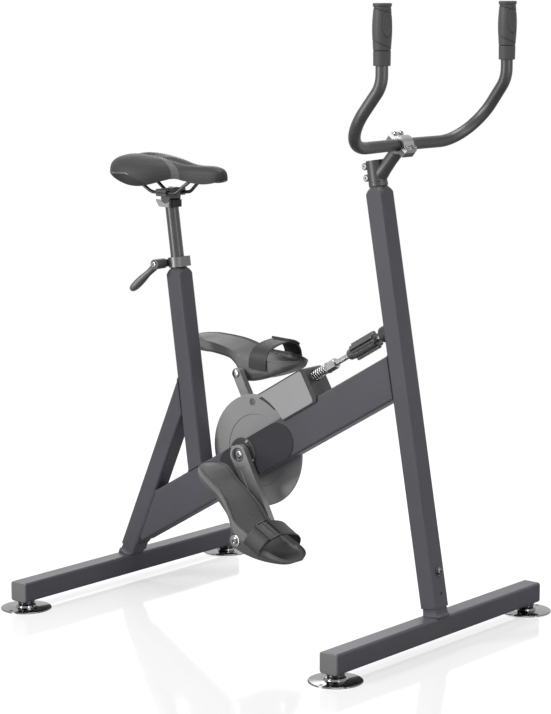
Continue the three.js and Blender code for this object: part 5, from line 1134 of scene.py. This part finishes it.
def make_brake():
    alongside = Matrix.Translation((0, 3, 82)) @ Matrix.Rotation(math.pi / 2, 4, "Y")
    body = prism(brake_outline(31, 103, 230, 131, 9), -23.2, 33, "Y")
    body = carved(
        body, block(0, 215, -20.2, 30, 0, 100), block(0, 236, -20.3, 40, 0, 40.3),
        moved(rod(12, 221, 236), alongside), moved(rod(6.5, 0, 236), alongside),
        prism(brake_outline(33, 101, 219.3, 129, 7), -30, -21.7, "Y"),
    )
    replace("brake_housing", body, BRAKE_FRAME, smooth=30, round_over=1.1, segments=3)
    cover = prism(brake_outline(33.3, 100.7, 219, 131.3, 6.7), -23.2, -22, "Y")
    replace("brake_cover", cover, BRAKE_FRAME, smooth=30, round_over=0.4)
    replace("tension_rod", turned([(0, 118), (5, 118), (5.5, 118.6), (5.5, ROD_END - 0.8), (4.8, ROD_END),
                                   (0, ROD_END)], 48), ROD_FRAME)
    coil, steps = [], SPRING_TURNS * TURN_STEPS
    for i in range(steps + 1):
        turn = 2 * math.pi * i / TURN_STEPS
        coil.append((SPRING_RADIUS * math.cos(turn), SPRING_RADIUS * math.sin(turn),
                     SPRING_LOW + (SPRING_HIGH - SPRING_LOW) * i / steps))
    replace("brake_spring", swept(coil, SPRING_WIRE, 12), ROD_FRAME, smooth=60)
    nut = prism(hex_outline(19), 268, 290)
    nut = carved(nut, turned([(0, 260), (12, 260), (12, 287.6), (9.4, 290.2), (9.4, 300), (0, 300)], 48),
                 how="INTERSECT")
    flange = turned([(0, 265), (11, 265), (11.5, 265.5), (11.5, 267.2), (10.6, 268.4), (0, 268.4)], 48)
    nut = carved(carved(flange, nut, how="UNION"), rod(ROD_BORE, 250, 300, steps=48))
    replace("lock_nut", nut, ROD_FRAME, smooth=30)
    knob = carved(wavy(between(KNOB_ROWS, 6), KNOB_START, KNOB_LONG, 240, knob_size),
                  rod(ROD_BORE, KNOB_START - 5, KNOB_START + 90, steps=48))
    # The flutes' mark is painted shade, near-black in the finish.
    replace("brake_knob", knob, ROD_FRAME, smooth=45, even=False, marks={
        "line": lambda x, y, z: knob_groove(math.atan2(y, x)) * (KNOB_START + 17 < z < KNOB_START + 73)})
    low = ROD_MEET - 22.9
    dome = turned([(0, low), (9.6, low), (10.5, low + 0.4), (14.2, low + 3), (15.9, low + 4.9),
                   (16.5, low + 7), (16.5, low + 60), (0, low + 60)], 80)
    cut_to(dome, ROD_FRAME, POST_FRAME, (-TUBE_SIDE, 0, 0), AXIS_X)
    replace("rod_socket", carved(dome, rod(ROD_BORE, low - 5, ROD_END + 0.3, steps=48)), ROD_FRAME, smooth=40)


# The seat's mount: collar, lever, post, its head and the clamp of the rails
LEVER_ROWS = [(1, 1, 0.16, 0.14), (0.995, 1, 0.4, 0.34), (0.96, 1, 0.76, 0.66), (0.85, 0.97, 1, 0.86),
              (0.7, 0.92, 1.04, 0.9), (0.55, 0.87, 0.97, 0.86), (0.4, 0.81, 0.8, 0.74),
              (0.3, 0.76, 0.74, 0.72), (0.18, 0.71, 0.8, 0.78), (0, 0.67, 0.9, 0.85)]
LEVER_HUB = [(0, -46), (8.8, -46), (9.8, -45.6), (10.3, -44.6), (10.3, -16.9), (9.8, -15.9), (8.8, -15.5),
             (0, -15.5)]
LEVER_BOLT = [(0, -48.8), (4.4, -48.8), (5.2, -48.4), (5.5, -47.6), (5.5, -46.3), (4, -46.3), (4, 14.3),
              (7.5, 14.3), (7.5, 17.6), (6.8, 19.6), (5, 20.3), (0, 20.3)]
CLAMP_BOLT = [(0, -6), (3, -6), (3, 17.6), (5.4, 17.6), (5.5, 17.8), (5.5, 19.6), (4.9, 20.5), (0, 20.6)]
COLLAR_LOW, COLLAR_HIGH = 392.3, 412.9
HEAD_SPLIT = 9.5  # ahead of this the post head is coloured near-black, a painted reflection on its curved front
RAIL_SIDE, RAIL_UP = 22, 10


def clamp_bores():
    """What the rails' clamp is cut with: a groove for each rail, and the bolt's bore."""
    grooves = [rod(3.9, -40, 40, "X", (0, side * RAIL_SIDE, RAIL_UP), SLIM) for side in (-1, 1)]
    return grooves + [rod(3.4, -6.3, 40)]


def make_seat_mount():
    body = carved(rod(19.8, COLLAR_LOW, COLLAR_HIGH), block(0, 21, -15, 15, COLLAR_LOW, COLLAR_HIGH),
                  how="UNION")
    body = carved(body, block(-32, 0, -14, 14, 395.1, 410.1), how="UNION")
    body = carved(body, rod(16.4, 380, 420), block(-40, 0, -1.5, 1.5, 380, 420),
                  rod(BOLT_BORE, -40, 40, "Y", LEVER_PLACE, SLIM))
    replace("seat_collar", body, SEAT_FRAME, smooth=30, round_over=0.8, segments=3)
    rings = []
    for share, side, width, thick in between(LEVER_ROWS, 8):
        thickness = thick * 18
        ring = ring_round(thickness, width * 19, thickness * 0.46, -share * 77, 8)
        rings.append([(x, y - side * 55, z) for x, y, z in ring])
    lever = carved(loft(rings), turned(LEVER_HUB, 72, "Y"), how="UNION")
    lever = carved(lever, rod(BOLT_BORE, -60, 0, "Y", steps=SLIM), rod(10.3, -90, -46.3, "Y", steps=72))
    replace("clamp_lever", lever, LEVER_FRAME, round_over=0.5)
    replace("lever_bolt", keyed(turned(LEVER_BOLT, 40, "Y"), 4.6, -50, -47.2, "Y"), LEVER_FRAME)
    post = turned([(0, 220), (13, 220), (13.6, 220.6), (13.6, 520.3), (13, 520.9), (0, 520.9)], 96)
    replace("seat_post", post, SEAT_FRAME)
    outline = ([(-9, -20)] + arc(17, -17, 3, -90, 0, 5) + [(20, -5), (-25, -5), (-26, -7)]
               + arc(-14, -13, 7, 195, 262, 8))
    head = prism(outline, -17, 17, "Y")
    plan = arc(10, -7, 10, -90, 0, 8) + arc(10, 7, 10, 0, 90, 8) + [(-30, 17), (-30, -17)]
    head = carved(head, prism(plan, -30, 0), how="INTERSECT")
    in_post = HEAD_FRAME.inverted() @ SEAT_FRAME
    head = carved(head, rod(12.3, -40, 40, "Y"), moved(rod(13.9, 0, 521.2), in_post))
    for x in (HEAD_SPLIT - 0.3, HEAD_SPLIT + 0.3):
        bmesh.ops.bisect_plane(head, geom=head.verts[:] + head.edges[:] + head.faces[:], plane_co=(x, 0, 0),
                               plane_no=AXIS_X)
    # The head's front is marked for its painted reflection, coloured near-black in the finish.
    replace("post_head", head, HEAD_FRAME, smooth=30, round_over=1, segments=3,
            marks={"front": lambda x, y, z: float(x > HEAD_SPLIT)})
    wings = carved(rod(12, -17, 17, "Y"), block(-13, 13, -31, 31, 3, 9.7), how="UNION")
    wings = carved(wings, block(-40, 40, -40, 40, 9.7, 40), *clamp_bores())
    replace("rail_cradle", wings, HEAD_FRAME, smooth=30, round_over=1.5, segments=3)
    jaw = carved(block(-13, 13, -31, 31, 10.3, 17.3), *clamp_bores())
    replace("rail_clamp", jaw, HEAD_FRAME, smooth=30, round_over=2.4, segments=4)
    replace("clamp_bolt", keyed(turned(CLAMP_BOLT, SLIM), 5, 18.6, 24), HEAD_FRAME)


# The saddle: its crown, channel, band and shell from rows, and its rails
SADDLE_ROWS = [
    (144, 4, 48.5, 54, 0), (142.6, 10.5, 43.8, 58.4, 0), (139, 15, 40.2, 61.8, 0),
    (131.6, 18.8, 36.8, 65.2, 0), (116.4, 22.8, 33.4, 68.3, 0.6), (97.4, 25, 32.4, 69.6, 2.4),
    (76.6, 28, 34.5, 69.8, 4.6), (57.4, 32.5, 39, 70.3, 6.2), (38.4, 40, 41, 72.5, 7.4),
    (18.4, 51.5, 36, 76.5, 8), (-1.6, 63.5, 29.5, 80, 8.4), (-21.6, 72.5, 25.5, 82.6, 8.6),
    (-43.6, 78.5, 27, 85, 8.6), (-65.5, 80, 33, 86.6, 8.2),
    (-85.5, 77, 40, 86, 7), (-102.6, 68.5, 46.5, 83, 5), (-113.4, 57, 52, 79, 3), (-120.4, 38, 59, 72.5, 0.8),
]
RAIL_ROWS = [(-0.286, 1.318, 0.971), (-0.235, 1.182, 0.571), (-0.176, 1.068, 0.269), (-0.131, 1.01, 0.06),
             (-0.095, 1, 0), (-0.03, 1, 0), (0.04, 1, 0), (0.102, 1, 0.005), (0.135, 0.973, 0.1),
             (0.194, 0.841, 0.457), (0.249, 0.705, 0.76), (0.29, 0.564, 0.926), (0.327, 0.318, 0.989),
             (0.338, 0, 1)]
SADDLE_RINGS = 220
SADDLE_POINTS = 150
SADDLE_POWER = 2.7
TRIM_START, TRIM_LONG, TRIM_STEPS, TRIM_RADIUS = -98, 54, 40, 2.2
SEAM_UP = 0.36
BAND_MIDDLE = -69
BAND_SLANT = 3.1
BAND_HALF = 19
SADDLE_LONG = 270.6
RAIL_RISE, RAIL_RADIUS = 35, 3.5


def past_band(x, y):
    """How far a point of the saddle is outside its slanting band, negative within it."""
    return abs(x - BAND_MIDDLE - BAND_SLANT * abs(y)) - BAND_HALF


def crown(half, rise, points):
    """Evenly spaced places over a saddle's rounded crown: across it, and their share of its height."""
    across = np.concatenate([np.linspace(1, -1, 300), np.cos(np.linspace(0, math.pi, 300))
                             * abs(np.cos(np.linspace(0, math.pi, 300))) ** (2 / SADDLE_POWER - 1 + 1e-9)])
    across = np.unique(np.round(across, 6))[::-1]
    up = (1 - abs(across) ** SADDLE_POWER).clip(0) ** (1 / SADDLE_POWER)
    reach = np.concatenate([[0], np.cumsum(np.hypot(np.diff(across) * half, np.diff(up) * rise))])
    even = np.linspace(0, reach[-1], points + 1)
    return list(zip(np.interp(even, reach, across) * half, np.interp(even, reach, up)))


def saddle_form(side, down, end, under, rings_count, points, skin=False):
    """A saddle's closed form in millimetres: drawn in at the sides and ends, and lowered at the top."""
    rings = []
    stations = smooth_rows(SADDLE_ROWS, even_places(SADDLE_ROWS, 0, rings_count))
    nose, tail = SADDLE_ROWS[0][0], SADDLE_ROWS[-1][0]
    middle, shrink = (nose + tail) / 2, (nose - tail - 2 * end) / (nose - tail)
    for x, wide, edge, top, channel in stations:
        half = max(wide - side, wide * 0.25)
        low = edge - under
        rise = max(top - down - low, (top - edge) * 0.25)
        place = middle + (x - middle) * shrink
        ring = []
        for y, up in crown(half, rise, points):
            dip = channel * math.exp(-((y / 11) ** 2))
            if skin:
                dip += 0.7 * math.exp(-((past_band(place, y) / 1.6) ** 2))
                seam = up - SEAM_UP - 0.1 * math.sin(place / 60)
                dip += 1.0 * math.exp(-((seam / 0.03) ** 2)) if abs(y) > 0.5 * half else 0
            ring.append((place, y, low + rise * up - dip))
        if under:
            ring += [(place, -half, low - 1), (place, half, low - 1)]
        rings.append(ring)
    return loft(rings)


def shell_edge(x):
    """How high the black shell reaches up the saddle's side, towards its tail."""
    return np.interp(x, (-110, -100, -55, -38, -20, 0, 10), (50, 48.5, 50, 44, 37, 28, 20))


def make_saddle():
    pad = saddle_form(0, 0, 0, 0, SADDLE_RINGS, SADDLE_POINTS, skin=True)
    pad = carved(pad, saddle_form(4, 15, 6, 6, 90, 40))
    pad = replace("saddle_pad", pad, HEAD_FRAME, smooth=40, round_over=1.4, segments=3, even=False, marks={
        "band": lambda x, y, z: min(max(-past_band(x, y) / 0.8, 0), 1),
        "line": lambda x, y, z: math.exp(-(past_band(x, y) / 0.8) ** 2),
        "shell": lambda x, y, z: float(x < 5) * min(max((shell_edge(x) - z) / 1.5, 0), 1)})
    stations, wides, edges, tops, _ = zip(*SADDLE_ROWS)
    path = []
    for i in range(TRIM_STEPS + 1):
        x = TRIM_START + TRIM_LONG * i / TRIM_STEPS
        wide, edge, top = (np.interp(-x, [-place for place in stations], row) for row in (wides, edges, tops))
        up = min(max((shell_edge(x) - edge) / (top - edge), 0.02), 1)
        path.append(Vector((x, -wide * (1 - up ** SADDLE_POWER) ** (1 / SADDLE_POWER) + 0.6, shell_edge(x))))
    sizes = [TRIM_RADIUS * min(1, 0.3 + min(i, TRIM_STEPS - i) / 6) for i in range(TRIM_STEPS + 1)]
    trims = [swept([Vector((p.x, side * p.y, p.z)) for p in path], sizes, 16) for side in (1, -1)]
    stand("saddle_trims", joined(*trims), HEAD_FRAME, KNOB_PLASTIC, BODY_OF["saddle_pad"],
          smooth=60, even=False)
    fine_copy("saddle_base", 40, 0.4)
    left = [(ahead * SADDLE_LONG, side * RAIL_SIDE, RAIL_UP + up * RAIL_RISE)
            for ahead, side, up in between(RAIL_ROWS, 8)]
    right = [(x, -y, z) for x, y, z in left[:-1][::-1]]
    replace("saddle_rails", swept(left + right, RAIL_RADIUS, 24), HEAD_FRAME, smooth=60)


# The bars, and grips with an oval dish and wave lines
def bent_path(corners, radii, step=2.5):
    """Points along a path through corners, each bend an arc of its own radius."""
    corners = [Vector(corner) for corner in corners]
    path = [corners[0]]
    for i, radius in enumerate(radii, 1):
        back = (corners[i - 1] - corners[i]).normalized()
        on = (corners[i + 1] - corners[i]).normalized()
        half = back.angle(on) / 2
        hub = corners[i] + (back + on).normalized() * radius / math.sin(half)
        arms = [corners[i] + way * radius / math.tan(half) - hub for way in (back, on)]
        angle = arms[0].angle(arms[1])
        steps = math.ceil(math.degrees(angle) / step)
        for j in range(steps + 1):
            share = j / steps
            weights = [math.sin(part * angle) / math.sin(angle) for part in (1 - share, share)]
            path.append(hub + arms[0] * weights[0] + arms[1] * weights[1])
    return path + [corners[-1]]


GRIP_ROWS = [(0, 14.7), (0.006, 15.3), (0.02, 15.6), (0.12, 15.7), (0.235, 15.9), (0.242, 15.1), (0.25, 15.9),
             (0.32, 16.4), (0.45, 17.4), (0.6, 17.9), (0.74, 17.4), (0.87, 16.2), (0.925, 15.7), (0.94, 15.6),
             (0.948, 16.6), (0.957, 17), (0.985, 17), (0.995, 16.5), (1, 15.6)]
GRIP_OVAL = (-20, 0.67)  # its middle round the grip in degrees, and up it
GRIP_START, GRIP_LONG = 154.6, 110
GRIP_FORWARD, GRIP_SIDE = 100.3, 197.3
BAR_RADIUS, BAR_BORE = 11.4, 11.8


def oval_reach(across, share):
    """How far a place is from the middle of the grip's oval: 1 on its rim."""
    return math.hypot(across / 33, (share - GRIP_OVAL[1]) / 0.215)


def grip_lines(across, share):
    """The oval's rim and the wave lines of a grip, from 0 to 1."""
    line = math.exp(-((oval_reach(across, share) - 1) / 0.05) ** 2)
    for middle, rise in ((0.33, 0.07), (0.87, 0.05)):
        wave = share - middle - rise * math.cos(math.radians(across + 110))
        line = max(line, math.exp(-(wave / 0.008) ** 2))
    return max(line, math.exp(-((share - 0.242) / 0.008) ** 2))


def grip_turn(turn):
    return (math.degrees(turn) - GRIP_OVAL[0] + 180) % 360 - 180


def grip_size(share, radius, turn):
    """The grip's radius, less its dish and its lines."""
    across = grip_turn(turn)
    oval = oval_reach(across, share)
    dent = 1.5 * math.exp(-(max(oval - 0.5, 0) / 0.14) ** 2) if oval < 0.9 else 0
    return radius - dent - 0.8 * grip_lines(across, share)


def grip_mesh():
    """A moulded grip: a barrel with an oval dish for the thumb, wave lines, and a rim on top."""
    places = np.interp(np.linspace(0, 1, 260), [row[0] for row in GRIP_ROWS], range(len(GRIP_ROWS)))
    grip = wavy(smooth_rows(GRIP_ROWS, places), GRIP_START, GRIP_LONG, 160, grip_size)
    return carved(grip, rod(12.4, 140, 261.6, steps=48))


def make_bars():
    corners = [(0, 0, 0), (0, 40, 0), (10, 205.7, 0), (GRIP_FORWARD, GRIP_SIDE, 119.4),
               (GRIP_FORWARD, GRIP_SIDE, 260.6)]
    left = bent_path(corners, (200, 90, 56))
    right = [Vector((p.x, -p.y, p.z)) for p in left[1:]][::-1]
    replace("handlebar", swept(right + left, BAR_RADIUS, 48), HAND_FRAME, smooth=50)
    for side, sy in (("left", 1), ("right", -1)):
        shift = Matrix.Translation((GRIP_FORWARD, sy * GRIP_SIDE, 0))
        # The grooves are also marked as painted shade, dark in the finish.
        replace(side + "_grip", grip_mesh(), HAND_FRAME @ shift, smooth=45, even=False, marks={
            "line": lambda x, y, z: grip_lines(grip_turn(math.atan2(y, x)), (z - GRIP_START) / GRIP_LONG)})


# The stem: its arm and clamp, the faceplate, and their bolts
STEM_ARM = [(0, 0), (13.6, 0), (13.2, -20), (12.8, -40), (13.6, -60), (15, -74), (15, -86.7), (0, -86.7)]
STEM_BOLT = [(0, -13.4), (4.4, -13.4), (5, -12.8), (5, -9.2), (3.2, -9.2), (3.2, 8.9), (0, 8.9)]
FACEPLATE_BOLT = [(0, 6), (4, 6), (4.3, 9.2), (4.3, 12), (3.8, 13), (0, 13.1)]
STEM_BOLTS_UP = (841.1, 863.1)


def clamp_around():
    barrel = turned([(0, -16), (17, -16), (18, -15), (18, 15), (17, 16), (0, 16)], 72, "Y")
    return carved(barrel, block(-9, 9, -16, 16, -25, 25), how="UNION")


def make_stem():
    back = carved(clamp_around(), turned(STEM_ARM, along="X"), how="UNION")
    back = carved(back, rod(BAR_BORE, -40, 40, "Y"), block(0.6, 40, -40, 40, -40, 40))
    in_post = POST_FRAME.inverted() @ CLAMP_FRAME
    lugs = []
    for height in STEM_BOLTS_UP:
        lugs += [rod(6.9, -9, 9, "Y", (-19.9, 0, height), 48),
                 block(-19.9, 0, -9, 9, height - 6.9, height + 6.9)]
    stem = carved(rod(18, 831.6, 872.6), *lugs, moved(back, in_post), how="UNION")
    stem = carved(stem, rod(POST_BORE, 800, 867.6), block(-40, 0, -1.2, 1.2, 800, 868.1),
                  block(-40, 80, -40, 40, 780, 831.6))
    replace("stem", stem, POST_FRAME, smooth=30, round_over=1.3, segments=3)
    bolts = [moved(keyed(turned(STEM_BOLT, SLIM, "Y"), 4.8, -15, -11, "Y"),
                   Matrix.Translation((-18, 0, height))) for height in STEM_BOLTS_UP]
    stand("stem_bolts", joined(*bolts), POST_FRAME, BRIGHT_STEEL, BODY_OF["stem"])
    front = carved(clamp_around(), rod(BAR_BORE, -40, 40, "Y"), block(-40, 0.9, -40, 40, -40, 40))
    replace("stem_faceplate", front, CLAMP_FRAME, smooth=30, round_over=1.4, segments=3)
    bolts = [moved(keyed(turned(FACEPLATE_BOLT, SLIM, "X"), 4.2, 10.4, 20, "X"),
                   Matrix.Translation((0, sy * 9.8, sz * 19.8))) for sy in (-1, 1) for sz in (-1, 1)]
    stand("faceplate_bolts", joined(*bolts), CLAMP_FRAME, BRIGHT_STEEL, BODY_OF["stem_faceplate"])


# The studio: a floor that clears into white, and its lights
def seen_rays(tree, gloss=True):
    """One for the rays that see a background: from the camera, through glass, and from a gloss if asked."""
    rays = add_node(tree, "ShaderNodeLightPath").outputs
    seen = calculate(tree, "MAXIMUM", rays["Is Camera Ray"], rays["Is Transmission Ray"])
    return calculate(tree, "MAXIMUM", seen, rays["Is Glossy Ray"]) if gloss else seen


def lay_floor():
    """A pale floor that keeps the shadow and a soft reflection, and clears into the white round it."""
    mesh = bmesh.new()
    bmesh.ops.create_circle(mesh, cap_ends=True, radius=FLOOR_RADIUS, segments=FLOOR_STEPS)
    data = bpy.data.meshes.new("floor")
    mesh.to_mesh(data)
    mesh.free()
    floor = bpy.data.objects.new("floor", data)
    bpy.context.scene.collection.objects.link(floor)
    material = bpy.data.materials.new("pale floor")
    material.use_nodes = True
    tree = material.node_tree
    shader = tree.nodes["Principled BSDF"]
    shader.inputs["Base Color"].default_value = FLOOR_GREY
    shader.inputs["Roughness"].default_value = FLOOR_ROUGH
    shader.inputs["Specular IOR Level"].default_value = FLOOR_GLOSS
    glow = calculate(tree, "MULTIPLY", seen_rays(tree, gloss=False), FLOOR_LIFT)
    lift = add_node(tree, "ShaderNodeEmission", {"Color": (1, 1, 1, 1), "Strength": glow})
    white = add_node(tree, "ShaderNodeAddShader", {0: shader.outputs["BSDF"], 1: lift.outputs["Emission"]})
    place = add_node(tree, "ShaderNodeTexCoord")
    reach = add_node(tree, "ShaderNodeVectorMath", {0: place.outputs["Object"]}, operation="LENGTH")
    clear = add_node(tree, "ShaderNodeMapRange", {
        "Value": reach.outputs["Value"], "From Min": FLOOR_CLEAR_FROM, "From Max": FLOOR_RADIUS * 0.9,
    }, interpolation_type="SMOOTHSTEP")
    through = add_node(tree, "ShaderNodeBsdfTransparent")
    mix = add_node(tree, "ShaderNodeMixShader", {
        "Fac": clear.outputs["Result"], 1: white.outputs["Shader"], 2: through.outputs["BSDF"]})
    tree.links.new(mix.outputs["Shader"], tree.nodes["Material Output"].inputs["Surface"])
    data.materials.append(material)


# Square lamps, and panels that only show in gloss as long soft lights along the tubes
LAMPS = [("key", (-1.9, -3.7, 3), 1.1, 122), ("top", (0.2, 0.3, 4.2), 1.8, 95),
         ("right", (3.7, -1.2, 3.2), 0.8, 18), ("rim", (-2.6, 2.8, 2.2), 1.4, 18)]
GLOSS_PANELS = [("left panel", (-1.55, -3.95, 0.9), (1, 2.2), 66),
                ("right panel", (4.2, -0.3, 0.9), (0.5, 2.2), 30)]
LAMP_AIM = 0.5  # how high up the bike the lamps point
FILL = 0.32  # the white round the bike, as a light


def hang_light(name, place, aim, size, power):
    """A light above the floor, turned to a height over the origin."""
    data = bpy.data.lights.new(name, "AREA")
    data.shape = "RECTANGLE"
    data.size, data.size_y = size
    data.energy = power
    light = bpy.data.objects.new(name, data)
    light.location = place
    light.rotation_euler = (Vector((0, 0, aim)) - Vector(place)).to_track_quat("-Z", "Y").to_euler()
    bpy.context.scene.collection.objects.link(light)
    return light


def light_studio():
    world = bpy.data.worlds.new("studio")
    bpy.context.scene.world = world
    world.use_nodes = True
    tree = world.node_tree
    tree.nodes.clear()
    fill = add_node(tree, "ShaderNodeBackground", {"Color": (1, 1, 1, 1), "Strength": FILL})
    seen = add_node(tree, "ShaderNodeBackground", {"Color": (1, 1, 1, 1), "Strength": 1.0})
    mix = add_node(tree, "ShaderNodeMixShader", {
        "Fac": seen_rays(tree), 1: fill.outputs["Background"], 2: seen.outputs["Background"]})
    out = tree.nodes.new("ShaderNodeOutputWorld")
    tree.links.new(mix.outputs["Shader"], out.inputs["Surface"])
    for name, place, size, power in LAMPS:
        hang_light(name, place, LAMP_AIM, (size, size), power)
    for name, place, size, power in GLOSS_PANELS:
        panel = hang_light(name, place, place[2], size, power)
        panel.visible_diffuse = panel.visible_camera = False
    bpy.context.scene.view_settings.view_transform = "Standard"


stand_camera()
make_bases()
make_frame()
make_welds()
make_drive()
make_pedals()
make_brake()
fine_copy("brake_shoe")
make_seat_mount()
make_saddle()
make_bars()
make_stem()
lay_floor()
light_studio()
